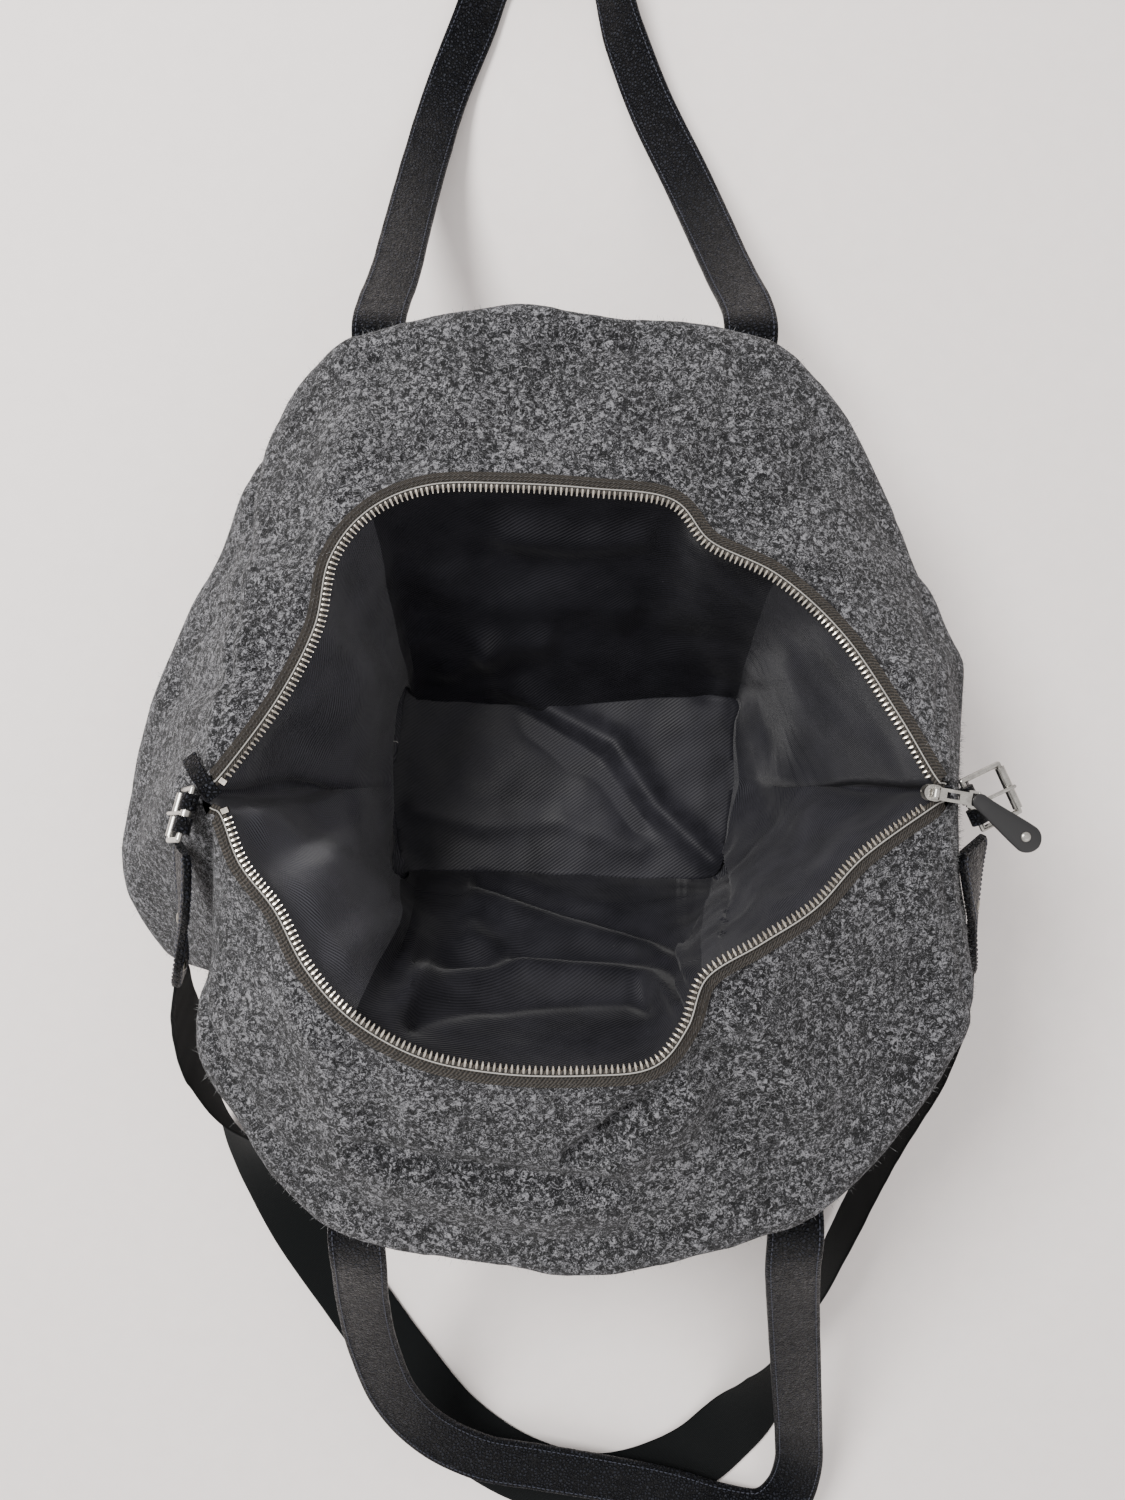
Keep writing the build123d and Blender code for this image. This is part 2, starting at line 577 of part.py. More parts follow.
def make_buckle(side, place, tab_shape):
    """Wire frame, roller and prong about the heel bar on local Y, with the bag's leather tab."""
    origin, to_roller, along_bars = place
    plane = Plane(origin=origin, x_dir=to_roller, z_dir=cross(unit(to_roller), unit(along_bars)))
    half = BUCKLE_INSIDE / 2 + ROD
    corners = [(0, -half, 0), (BUCKLE_REACH, -half, 0), (BUCKLE_REACH, half, 0), (0, half, 0)]
    frame = bar(corners[0], corners[1], ROD)
    for start, end in ((1, 2), (2, 3), (3, 0)):
        frame = frame + bar(corners[start], corners[end], ROD)
    export(plane.location * frame, side + "_buckle_frame")

    roller = eye(ROD + RUNNING, ROLLER, BUCKLE_INSIDE - ROLLER_PLAY, 0)
    export(plane.location * roller.moved(Location((BUCKLE_REACH, 0, 0))), side + "_buckle_roller")

    prong_eye = eye(ROD + RUNNING, ROD + PRONG_WALL, PRONG_EYE, 0)
    heel_end = (1.2, 0, ROD + PRONG_RISE)
    tip = (BUCKLE_REACH + PRONG_PAST, 0, ROLLER + PRONG + 0.1)
    prong = prong_eye + (bar(heel_end, tip, PRONG) - Rot(90, 0, 0) * Cylinder(ROD + RUNNING, 9))
    export(plane.location * prong, side + "_buckle_prong")

    tab_length, tab_lean = tab_shape
    inner = ROD + TAB_CLEAR
    outer = inner + TAB_LEATHER
    eye_length = (TAB_WIDTH - PRONG_EYE - 1.0) / 2
    offset = (TAB_WIDTH - eye_length) / 2
    plate = Box(tab_length, TAB_WIDTH, TAB_LEATHER)
    plate = plate.moved(Location((tab_length / 2 + outer + TAB_SETBACK, 0, 0)))
    tab = plate.moved(Location((0, 0, 0), (0, tab_lean, 0)))
    for middle in (-offset, offset):
        arm = Box(outer, eye_length, TAB_LEATHER)
        arm = arm.moved(Location((outer, middle, 0))).moved(Location((0, 0, 0), (0, tab_lean, 0)))
        tab = tab + eye(inner, outer, eye_length, middle)
        tab = tab + (arm - Rot(90, 0, 0) * Cylinder(inner, 2 * TAB_WIDTH))
    export(plane.location * tab, side + "_end_tab")


if __name__ == "__main__":
    make_shell()
    make_zip()
    bridge = make_slider()
    make_pull(make_puller(bridge))
    make_handles()
    make_strap()
    make_buckle("right", RIGHT_BUCKLE, RIGHT_TAB)
    make_buckle("left", LEFT_BUCKLE, LEFT_TAB)
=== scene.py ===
"""Looks for the weekender bag: wool shell, slumped lining, zip, leather and webbing, built round
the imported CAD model.  Distances are in metres unless a name ends in _mm."""
import math

import bpy
import numpy as np
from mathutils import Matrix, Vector, noise


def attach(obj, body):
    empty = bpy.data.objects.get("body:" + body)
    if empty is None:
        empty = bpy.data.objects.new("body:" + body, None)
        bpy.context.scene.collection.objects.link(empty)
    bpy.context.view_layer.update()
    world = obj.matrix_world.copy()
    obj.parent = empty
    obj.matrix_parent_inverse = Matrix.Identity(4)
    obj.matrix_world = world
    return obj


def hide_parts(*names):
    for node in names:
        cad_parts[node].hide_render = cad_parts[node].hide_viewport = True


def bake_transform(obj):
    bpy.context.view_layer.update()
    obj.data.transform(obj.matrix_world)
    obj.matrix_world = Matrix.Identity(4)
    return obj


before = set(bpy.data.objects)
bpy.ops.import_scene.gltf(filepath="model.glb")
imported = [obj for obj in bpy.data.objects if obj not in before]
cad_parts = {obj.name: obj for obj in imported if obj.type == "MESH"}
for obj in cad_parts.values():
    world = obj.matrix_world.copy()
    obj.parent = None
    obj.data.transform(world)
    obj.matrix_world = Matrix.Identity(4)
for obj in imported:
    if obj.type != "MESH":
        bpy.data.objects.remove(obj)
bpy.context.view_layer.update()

MM = 0.001
RANDOM = np.random.default_rng(7)

# ------------------------------------------------------------------ sizes, in millimetres
WOOL_MM = 2.5
TAPE_MM = 8.0
TOOTH_PITCH_MM = 3.1
HANDLE_WIDTH_MM = 34.0
HANDLE_THICK_MM = 4.0
WEBBING_WIDTH_MM = 50.0
WEBBING_THICK_MM = 1.8
STITCH_PITCH_MM = 3.6
CAMERA_HEIGHT = 0.860
CAMERA_PLACE = (0.002, 0.023)
CAMERA_LENS_MM = 27.05
FLOOR_GAP = 0.0004
LINING_MM = 0.8
CORD_RADIUS_MM = 0.42          # cord along each zip tape
CORD_REACH_MM = 2.9            # from the teeth out to the cord
TAPE_STITCH_REACHES_MM = (4.9, 7.2)
PATCH_WIDTH_MM = 9.0
PATCH_THICK_MM = 1.6
STRAP_RIVET_SHARES = (0.45, 0.85)      # places along the strap's leather ends
ROOT_RIVET_REACHES_MM = (13.0, 44.0)   # from the foot of a handle

# Stations round the bag, millimetres: base outline, fold, and mouth edge (gussets) or teeth line
# (panels), with the same values as the CAD model.
RIGHT_GUSSET = [
    ((227, -80), (240, -90, 188), (213, -12, 237)),
    ((231, -40), (241, -38, 178), (218, -7, 236)),
    ((232, 5), (246, 14, 168), (220, 0, 235)),
    ((230, 55), (249, 75, 160), (217, 6, 234)),
]
LEFT_GUSSET = [
    ((-229, 62), (-222, 148, 134), (-198, 7, 230)),
    ((-232, 20), (-258, 66, 130), (-201, 3, 229)),
    ((-232, -20), (-285, -16, 122), (-202, -3, 229)),
    ((-231, -60), (-285, -70, 108), (-201, -9, 230)),
    ((-225, -90), (-268, -112, 93), (-198, -14, 232)),
]
BACK_PANEL = [
    ((224, 98), (226, 135, 155), (205, 6, 239)),
    ((196, 109), (203, 188, 155), (187, 42, 228)),
    ((155, 110), (172, 236, 161), (160, 87, 216)),
    ((110, 110), (138, 270, 168), (125, 121, 210)),
    ((75, 110), (100, 281, 172), (86, 141, 208)),
    ((50, 110), (66, 285, 174), (64, 165, 208)),
    ((15, 110), (20, 288, 176), (20, 171, 208)),
    ((-25, 110), (-28, 291, 176), (-30, 174, 208)),
    ((-65, 110), (-70, 286, 174), (-75, 173, 208)),
    ((-100, 110), (-108, 281, 169), (-108, 159, 209)),
    ((-130, 110), (-134, 277, 162), (-129, 132, 211)),
    ((-160, 110), (-152, 266, 155), (-137, 92, 215)),
    ((-190, 107), (-172, 246, 148), (-157, 50, 221)),
    ((-220, 97), (-192, 209, 140), (-185, 7, 235)),
]
FRONT_PANEL = [
    ((-214, -104), (-226, -122, 138), (-184, -12, 236)),
    ((-195, -109), (-212, -128, 192), (-172, -38, 242)),
    ((-172, -110), (-208, -156, 202), (-151, -62, 250)),
    ((-148, -110), (-190, -190, 207), (-133, -92, 257)),
    ((-118, -110), (-165, -226, 210), (-108, -117, 263)),
    ((-80, -110), (-122, -256, 213), (-72, -136, 266)),
    ((-35, -110), (-62, -270, 214), (-30, -144, 267)),
    ((10, -110), (0, -278, 215), (15, -145, 267)),
    ((50, -110), (52, -273, 215), (48, -141, 267)),
    ((85, -110), (96, -262, 212), (65, -122, 266)),
    ((115, -110), (138, -251, 210), (76, -95, 265)),
    ((145, -110), (168, -235, 206), (106, -77, 262)),
    ((170, -110), (192, -208, 203), (136, -59, 256)),
    ((195, -109), (220, -172, 199), (163, -33, 248)),
    ((215, -104), (238, -132, 195), (202, -7, 240)),
]
# Where the slack lining meets the floor of the bag, one point for each zip station.
BACK_FLOOR = [(130, 5), (130, 22), (131, 42), (132, 60), (104, 63), (66, 62), (20, 58),
              (-30, 57), (-78, 59), (-111, 61), (-117, 50), (-118, 36), (-118, 20), (-118, 5)]
FRONT_FLOOR = [(-118, -9), (-118, -22), (-119, -38), (-119, -54), (-114, -66), (-74, -68),
               (-30, -69), (15, -71), (52, -73), (85, -74), (115, -74), (124, -62),
               (126, -48), (127, -30), (129, -12)]
FLOOR_LEVEL_MM = 11.0
LOOSE_THREAD = (-115, 28)

# Each handle runs as one strap from the foot of a root, given as (y, z), round its loop and back.
# Loops and straps are centre-line points with the roll in degrees: 0 lies flat, 90 is on edge.
FRONT_ROOT = [(-187, 107), (-211, 141), (-232, 171), (-248, 184)]
BACK_ROOT = [(212, 84), (239, 110), (261, 131), (275, 143)]
FRONT_HANDLE = [
    ((-121, -267, 188), 0), ((-121.3, -292, 176), 0), ((-125, -330, 142), 0),
    ((-125, -376, 105), 0), ((-116, -429, 70), 0), ((-94, -470, 45), 0),
    ((-59, -496, 32), 0), ((-15, -509, 24), 0), ((32, -520, 19), 0),
    ((80, -532, 15), 0), ((118, -545, 14), 8), ((150, -549, 17), 25),
    ((168, -532, 22), 30), ((174, -500, 36), 15), ((169, -458, 62), 0),
    ((160, -400, 98), 0), ((151, -345, 134), 0), ((142, -294, 175), 0),
    ((141, -267, 188), 0),
]
BACK_HANDLE = [
    ((121, 291, 149), 0), ((120, 312, 132), 0), ((115, 342, 103), 0),
    ((106, 389, 66), 5), ((92, 443, 34), 15), ((68, 506, 15), 25),
    ((48, 560, 14), 35), ((38, 596, 16), 50), ((26, 622, 18), 70),
    ((0, 636, 19), 75), ((-28, 628, 18), 65), ((-50, 604, 14), 40),
    ((-66, 568, 9), 15), ((-86, 517, 10), 0), ((-99, 459, 28), 0),
    ((-106, 403, 60), 0), ((-110, 345, 103), 0), ((-113, 313, 132), 0),
    ((-114, 291, 149), 0),
]
LEFT_STRAP_END = [
    ((-215, -33, 217), -58), ((-217, -58, 209), -62), ((-221, -80, 198), -68),
    ((-227, -100, 184), -74), ((-233, -117, 167), -80),
]
RIGHT_STRAP_END = [
    ((238, -31, 212), 32), ((243, -52, 198), 48), ((249, -75, 182), 60),
    ((254, -96, 165), 72), ((258, -113, 148), 80),
]
LEFT_CORNER_PATCH = [((-208, 19, 226), 0), ((-202, 11, 233), 0), ((-195, 3, 236), 0),
                     ((-190, -3, 236.5), 0)]
SHOULDER_STRAP = [
    ((-229, -106, 178), -77), ((-233.2, -117.6, 166.4), -80),
    ((-241, -138, 141), -86), ((-246, -160, 114), -90),
    ((-249, -188, 82), -88), ((-246, -226, 50), -76), ((-235, -264, 24), -46),
    ((-215, -302, 8), -14), ((-192, -342, 2.6), 0), ((-158, -390, 2.6), 0),
    ((-122, -440, 2.6), 0), ((-80, -490, 2.6), 0), ((-28, -524, 2.6), 0),
    ((32, -537, 2.6), 0), ((92, -520, 2.6), 0), ((136, -484, 4), -6),
    ((158, -448, 13), -35), ((172, -412, 24), -64), ((190, -372, 28), -84),
    ((210, -330, 29), -90), ((230, -286, 34), -90), ((246, -240, 52), -90),
    ((257, -196, 82), -90), ((262, -158, 112), -88), ((261, -130, 134), -84),
    ((258.2, -113.6, 147.4), -80), ((255.5, -103, 158), -76),
]


# ------------------------------------------------------------------ curves and meshes
def smooth(points, steps, closed=False):
    """Catmull-Rom curve through rows of points, with steps spans from each row to the next."""
    rows = np.asarray(points, float)
    if closed:
        knots = np.concatenate([rows[-1:], rows, rows[:2]])
        spans = len(rows)
    else:
        knots = np.concatenate([[2 * rows[0] - rows[1]], rows, [2 * rows[-1] - rows[-2]]])
        spans = len(rows) - 1
    share = (np.arange(steps) / steps).reshape((-1,) + (1,) * (rows.ndim - 1))
    out = []
    for i in range(spans):
        a, b, c, d = knots[i:i + 4]
        bend = (2 * a - 5 * b + 4 * c - d) * share + (3 * b - a - 3 * c + d) * share ** 2
        out.append(0.5 * (2 * b + (c - a) * share + bend * share))
    curve = np.concatenate(out)
    return curve if closed else np.concatenate([curve, rows[-1:]])


def unit(vectors):
    size = np.linalg.norm(vectors, axis=-1, keepdims=True)
    return vectors / np.maximum(size, 1e-12)


def run_length(points):
    steps = np.linalg.norm(np.diff(points, axis=0), axis=1)
    return np.concatenate([[0], np.cumsum(steps)])


def values_at(at, length, rows):
    """Rows interpolated at distances along a line whose own rows stand at the distances length."""
    return np.stack([np.interp(at, length, rows[:, k]) for k in range(3)], axis=-1)


def resample(points, pitch):
    """Points spaced about pitch apart along a line."""
    length = run_length(points)
    count = max(2, int(round(length[-1] / pitch)) + 1)
    return values_at(np.linspace(0, length[-1], count), length, points)


def new_object(name, vertices, faces, material, uvs=None, sharp_angle=None):
    """An object from millimetre vertices.  uvs gives one (u, v) for each vertex."""
    mesh = bpy.data.meshes.new(name)
    mesh.from_pydata((np.asarray(vertices, float) * MM).tolist(), [], faces)
    mesh.validate()
    mesh.shade_smooth()
    if sharp_angle is not None:
        mesh.set_sharp_from_angle(angle=math.radians(sharp_angle))
    if uvs is not None:
        layer = mesh.uv_layers.new(name="UVMap")
        corner_vertex = np.empty(len(mesh.loops), int)
        mesh.loops.foreach_get("vertex_index", corner_vertex)
        layer.data.foreach_set("uv", np.asarray(uvs, float)[corner_vertex].ravel())
    mesh.materials.append(material)
    item = bpy.data.objects.new(name, mesh)
    bpy.context.scene.collection.objects.link(item)
    return item


def grid_faces(rows, columns, start=0, wrap=False, flip=False):
    faces = []
    for i in range(rows - 1):
        for j in range(columns if wrap else columns - 1):
            k = (j + 1) % columns
            quad = [start + i * columns + j, start + (i + 1) * columns + j,
                    start + (i + 1) * columns + k, start + i * columns + k]
            faces.append(quad[::-1] if flip else quad)
    return faces


def sheet_object(name, outer, inner, material, sharp_angle=50):
    """A sheet with thickness between two grids of points, with its rim closed."""
    rows, columns = outer.shape[:2]
    total = rows * columns
    faces = grid_faces(rows, columns)
    faces += grid_faces(rows, columns, total, flip=True)
    loop = list(range(columns))
    loop += [i * columns + columns - 1 for i in range(1, rows)]
    loop += [(rows - 1) * columns + j for j in range(columns - 2, -1, -1)]
    loop += [i * columns for i in range(rows - 2, 0, -1)]
    for a, b in zip(loop, loop[1:] + loop[:1]):
        faces.append([a, b, b + total, a + total])
    along = np.cumsum(np.linalg.norm(np.diff(outer, axis=0, prepend=outer[:1]), axis=2), axis=0)
    across = np.cumsum(np.linalg.norm(np.diff(outer, axis=1, prepend=outer[:, :1]), axis=2), axis=1)
    uvs = np.stack([along.ravel(), across.ravel()], axis=1) * MM
    vertices = np.concatenate([outer.reshape(-1, 3), inner.reshape(-1, 3)])
    return new_object(name, vertices, faces, material, np.concatenate([uvs, uvs]), sharp_angle)


def grid_normals(grid, wrap=False):
    """Unit normals of a grid of points; on the shell grids they point into the bag."""
    if wrap:
        around = np.roll(grid, -1, axis=0) - np.roll(grid, 1, axis=0)
    else:
        around = np.gradient(grid, axis=0)
    return unit(np.cross(np.gradient(grid, axis=1), around))


def merged(name, parts, material):
    """One object from (vertices, faces) pairs."""
    vertices = []
    faces = []
    start = 0
    for part_vertices, part_faces in parts:
        vertices.append(part_vertices)
        faces += [[start + k for k in face] for face in part_faces]
        start += len(part_vertices)
    return new_object(name, np.concatenate(vertices), faces, material, sharp_angle=45)


def line_distance(points, line):
    """Distance of each point (x, y) from a polyline of (x, y) points."""
    best = np.full(points.shape[:-1], 1e9)
    for a, b in zip(np.asarray(line[:-1], float), np.asarray(line[1:], float)):
        run = b - a
        share = np.clip(((points - a) @ run) / (run @ run), 0, 1)
        nearest = a + share[..., None] * run
        best = np.minimum(best, np.linalg.norm(points - nearest, axis=-1))
    return best


def lumps(points, size, seed):
    """Smooth noise from -1 to 1 at points in millimetres."""
    flat = points.reshape(-1, 3) / size + seed * 17.3
    values = [noise.noise(Vector(p)) for p in flat]
    return np.asarray(values).reshape(points.shape[:-1])


# ------------------------------------------------------------------ materials
class Nodes:
    """Small helper to write node materials."""

    def __init__(self, name):
        self.material = bpy.data.materials.new(name)
        self.material.use_nodes = True
        self.tree = self.material.node_tree
        self.shader = self.tree.nodes["Principled BSDF"]

    def fill(self, item, inputs):
        """Link or set inputs of a node."""
        for key, value in inputs.items():
            if isinstance(value, bpy.types.NodeSocket):
                self.tree.links.new(value, item.inputs[key])
            else:
                item.inputs[key].default_value = value

    def node(self, kind, inputs=None, **settings):
        item = self.tree.nodes.new(kind)
        for key, value in settings.items():
            setattr(item, key, value)
        self.fill(item, inputs or {})
        return item

    def ramp(self, value, stops):
        item = self.node("ShaderNodeValToRGB", {"Fac": value})
        elements = item.color_ramp.elements
        while len(elements) < len(stops):
            elements.new(0.5)
        for element, (place, colour) in zip(elements, stops):
            element.position = place
            shade = colour if isinstance(colour, tuple) else (colour,) * 3
            element.color = (*shade, 1.0)
        return item.outputs["Color"]

    def noise(self, coordinates, scale, detail=4.0, roughness=0.6):
        inputs = {"Vector": coordinates, "Scale": scale, "Detail": detail, "Roughness": roughness}
        return self.node("ShaderNodeTexNoise", inputs).outputs["Fac"]

    def math(self, operation, a, b=0.0):
        item = self.node("ShaderNodeMath", {0: a, 1: b}, operation=operation)
        return item.outputs[0]

    def stretched(self, coordinates, scale, rotation=(0, 0, 0)):
        item = self.node("ShaderNodeMapping", {"Vector": coordinates, "Scale": scale,
                                               "Rotation": rotation})
        return item.outputs["Vector"]

    def mix(self, share, a, b):
        """Two colours mixed; a colour mix node has them at sockets 6 and 7."""
        item = self.node("ShaderNodeMix", {0: share, 6: a, 7: b}, data_type="RGBA")
        return item.outputs[2]

    def warped(self, coordinates, scale, amount):
        """Coordinates moved a little by noise."""
        drift = self.node("ShaderNodeTexNoise", {"Vector": coordinates, "Scale": scale,
                                                 "Detail": 2.0})
        inputs = {"Fac": amount, "Color1": coordinates, "Color2": drift.outputs["Color"]}
        return self.node("ShaderNodeMixRGB", inputs).outputs["Color"]

    def bands(self, direction, scale, distortion):
        inputs = {"Vector": self.uv(), "Scale": scale, "Distortion": distortion}
        return self.node("ShaderNodeTexWave", inputs, wave_type="BANDS",
                         bands_direction=direction).outputs["Fac"]

    def finish(self, colour, roughness, height=None, bump=0.3, distance=0.001, **fixed):
        self.fill(self.shader, {"Base Color": colour, "Roughness": roughness})
        if height is not None:
            item = self.node("ShaderNodeBump", {"Height": height, "Strength": bump,
                                                "Distance": distance})
            self.fill(self.shader, {"Normal": item.outputs["Normal"]})
        for key, value in fixed.items():
            self.shader.inputs[key.replace("_", " ")].default_value = value
        return self.material

    def place(self):
        return self.node("ShaderNodeTexCoord").outputs["Object"]

    def uv(self):
        return self.node("ShaderNodeTexCoord").outputs["UV"]


def wool_material():
    """Heathered melton: dark and pale fibres mottled at 2 to 4 mm, with a matted nap."""
    m = Nodes("grey_wool")
    place = m.place()
    bent = m.warped(place, 260.0, 0.012)
    coarse = m.noise(bent, 300.0, 3.0, 0.75)
    strands = m.noise(m.stretched(bent, (1.0, 2.4, 1.6), (0.4, 0.2, 0.7)), 480.0, 2.0, 0.7)
    fine = m.noise(place, 1500.0, 2.0, 0.7)
    broad = m.noise(place, 22.0, 3.0, 0.6)
    mixed = m.math("MULTIPLY", coarse, 0.56)
    for layer, weight in ((strands, 0.30), (fine, 0.10), (broad, 0.05)):
        mixed = m.math("ADD", mixed, m.math("MULTIPLY", layer, weight))
    colour = m.ramp(mixed, [(0.435, (0.005, 0.0052, 0.006)), (0.487, (0.015, 0.0153, 0.017)),
                            (0.522, (0.052, 0.0525, 0.057)), (0.575, (0.245, 0.245, 0.262))])
    return m.finish(colour, 0.95, mixed, 1.0, 0.003, Sheen_Weight=0.10, Sheen_Roughness=0.5,
                    Specular_IOR_Level=0.10)


def fibre_material():
    m = Nodes("wool_fibres")
    shade = m.noise(m.place(), 900.0, 1.0)
    colour = m.ramp(shade, [(0.35, (0.05, 0.05, 0.052)), (0.65, (0.34, 0.345, 0.35))])
    return m.finish(colour, 0.9, Specular_IOR_Level=0.2)


LINING_SHADES = ((0.0085, 0.0085, 0.0115), (0.030, 0.0295, 0.038))


def lining_material(name, lift, rib, follows_cut=True):
    """Black navy cotton twill: fine diagonal ribs, faint sheen and lint; lift scales the colour as
    painted light (above 1) or painted shade (below 1) for each copy.
    """
    m = Nodes(name)
    place = m.place()
    slanted = m.stretched(m.uv() if follows_cut else place, (1, 1, 1), (0, 0, 0.95))
    ribs = m.node("ShaderNodeTexWave", {"Vector": slanted, "Scale": 150.0, "Distortion": 0.5,
                                        "Detail": 1.0}).outputs["Fac"]
    cloudy = m.noise(place, 34.0, 4.0)
    lint = m.noise(place, 850.0, 1.0)
    shade = m.math("ADD", m.math("MULTIPLY", cloudy, 1 - 0.4 * rib),
                   m.math("MULTIPLY", ribs, 0.4 * rib))
    # lift brightens or darkens the whole colour: painted light above 1, painted shade below 1.
    low, high = (tuple(lift * c for c in shade_rgb) for shade_rgb in LINING_SHADES)
    colour = m.ramp(shade, [(0.25, low), (0.75, high)])
    speck = m.ramp(lint, [(0.80, 0.0), (0.84, 1.0)])
    colour = m.mix(speck, colour, (0.12, 0.12, 0.13, 1))
    rough = m.ramp(cloudy, [(0.3, 0.46), (0.7, 0.62)])
    return m.finish(colour, rough, ribs, 0.55 * rib, 0.0008, Sheen_Weight=0.10 * lift,
                    Sheen_Roughness=0.35, Specular_IOR_Level=0.34 * lift)


def leather_material():
    """Pebbled grain: rounded cells about 2.3 mm across, with painted shade in the grooves between
    them and a painted highlight on their tops.
    """
    m = Nodes("black_leather")
    tint = (0.0038, 0.0043, 0.0062)
    place = m.place()
    cells = m.node("ShaderNodeTexVoronoi",
                   {"Vector": m.warped(place, 420.0, 0.0016), "Scale": 440.0},
                   feature="DISTANCE_TO_EDGE").outputs["Distance"]
    pebble = m.ramp(cells, [(0.0, 0.0), (0.26, 1.0)])
    wrinkles = m.noise(place, 260.0, 3.0, 0.7)
    height = m.math("ADD", pebble, m.math("MULTIPLY", wrinkles, 2.2))
    # Painted highlight on the pebble tops and painted shade down in the grooves, so that the grain
    # shows.
    painted_pebble_highlight = tuple(3.2 * c for c in tint)
    colour = m.ramp(pebble, [(0.0, tuple(0.3 * c for c in tint)), (0.7, tint), (1.0, painted_pebble_highlight)])
    rough = m.ramp(wrinkles, [(0.35, 0.30), (0.65, 0.52)])
    return m.finish(colour, rough, height, 1.0, 0.0012, Specular_IOR_Level=0.16)


def webbing_material():
    """Heavy cotton webbing: lengthwise cords with a close cross weave."""
    m = Nodes("webbing")
    cords = m.bands("Y", 320.0, 0.2)
    picks = m.bands("X", 420.0, 0.3)
    weave = m.math("MULTIPLY", cords, m.math("ADD", m.math("MULTIPLY", picks, 0.5), 0.5))
    fuzz = m.noise(m.place(), 1200.0, 2.0)
    colour = m.ramp(weave, [(0.0, (0.0015, 0.0020, 0.0022)), (1.0, (0.0048, 0.0062, 0.0068))])
    height = m.math("ADD", weave, m.math("MULTIPLY", fuzz, 0.4))
    return m.finish(colour, 0.85, height, 0.6, 0.0006, Sheen_Weight=0.03,
                    Specular_IOR_Level=0.12)


def tape_material():
    """Zip tape: dark brown-black, ribbed across its length, and worn on the ribs."""
    m = Nodes("zip_tape")
    ribs = m.bands("X", 150.0, 0.4)
    worn = m.noise(m.place(), 240.0, 3.0)
    shade = m.math("MULTIPLY", ribs, worn)
    colour = m.ramp(shade, [(0.05, (0.008, 0.0068, 0.0055)), (0.55, (0.052, 0.044, 0.036))])
    return m.finish(colour, 0.7, ribs, 0.6, 0.0008, Specular_IOR_Level=0.35)


def metal_material(name, colour, roughness, wear=0.10):
    m = Nodes(name)
    place = m.place()
    stains = m.noise(place, 160.0, 4.0)
    scratches = m.noise(m.stretched(place, (1.0, 8.0, 3.0)), 700.0, 2.0)
    dark = tuple(0.62 * c for c in colour)
    shade = m.ramp(stains, [(0.30, dark), (0.62, colour)])
    rough = m.ramp(scratches, [(0.3, roughness), (0.7, roughness + wear)])
    return m.finish(shade, rough, scratches, 0.08, 0.0002, Metallic=1.0)


def thread_material(name, colour):
    m = Nodes(name)
    twist = m.noise(m.stretched(m.place(), (1.0, 1.0, 3.0)), 2400.0, 1.0)
    shade = m.ramp(twist, [(0.3, tuple(0.6 * c for c in colour)), (0.7, colour)])
    return m.finish(shade, 0.6, twist, 0.3, 0.0002)


def plain_material(name, colour, roughness):
    m = Nodes(name)
    grain = m.noise(m.place(), 60.0, 3.0)
    shade = m.ramp(grain, [(0.3, tuple(0.97 * c for c in colour)), (0.7, colour)])
    return m.finish(shade, roughness, grain, 0.02, 0.001)


WOOL = wool_material()
FIBRE = fibre_material()
# Copies of one twill, with lift as painted light: 1.35 paints the left wall lit; 0.88, 0.66 and
# 0.84 paint the right wall, the back and front, and the floor in shade.
LINING_PAINTED_LIGHT = lining_material("lining_twill", 1.35, 1.0)
LINING_RIGHT_PAINTED_SHADE = lining_material("lining_twill_right_painted_shade", 0.88, 0.85)
LINING_PAINTED_SHADE = lining_material("lining_twill_shaded", 0.66, 0.7)
LINING_FLOOR_PAINTED_SHADE = lining_material("lining_twill_floor_painted_shade", 0.84, 0.4, follows_cut=False)
LEATHER = leather_material()
LEATHER_EDGE = plain_material("leather_edge", (0.010, 0.010, 0.011), 0.45)
WEBBING = webbing_material()
TAPE = tape_material()
CORD = thread_material("zip_cord", (0.36, 0.35, 0.33))
TEETH = metal_material("zip_metal", (0.60, 0.555, 0.49), 0.24)
BUCKLE = metal_material("buckle_metal", (0.50, 0.485, 0.455), 0.24)
RIVET = metal_material("rivet_metal", (0.27, 0.255, 0.225), 0.28, 0.15)
NAVY_THREAD = thread_material("navy_thread", (0.045, 0.050, 0.075))
SEAM_THREAD = thread_material("seam_thread", (0.085, 0.085, 0.095))
DARK_THREAD = thread_material("dark_thread", (0.035, 0.032, 0.030))
BOARD = plain_material("base_board", (0.05, 0.05, 0.05), 0.8)


# ------------------------------------------------------------------ camera, floor and light
def add_camera():
    data = bpy.data.cameras.new("camera")
    data.lens = CAMERA_LENS_MM
    data.sensor_width = 36.0
    data.clip_start = 0.01
    camera = bpy.data.objects.new("camera", data)
    camera.location = (*CAMERA_PLACE, CAMERA_HEIGHT)
    bpy.context.scene.collection.objects.link(camera)
    bpy.context.scene.camera = camera


def add_light(name, place, target, size, power, colour):
    data = bpy.data.lights.new(name, "AREA")
    data.shape = "DISK"
    data.size = size
    data.energy = power
    data.color = colour
    light = bpy.data.objects.new(name, data)
    light.location = place
    aim = Vector(target) - Vector(place)
    light.rotation_euler = aim.to_track_quat("-Z", "Y").to_euler()
    bpy.context.scene.collection.objects.link(light)


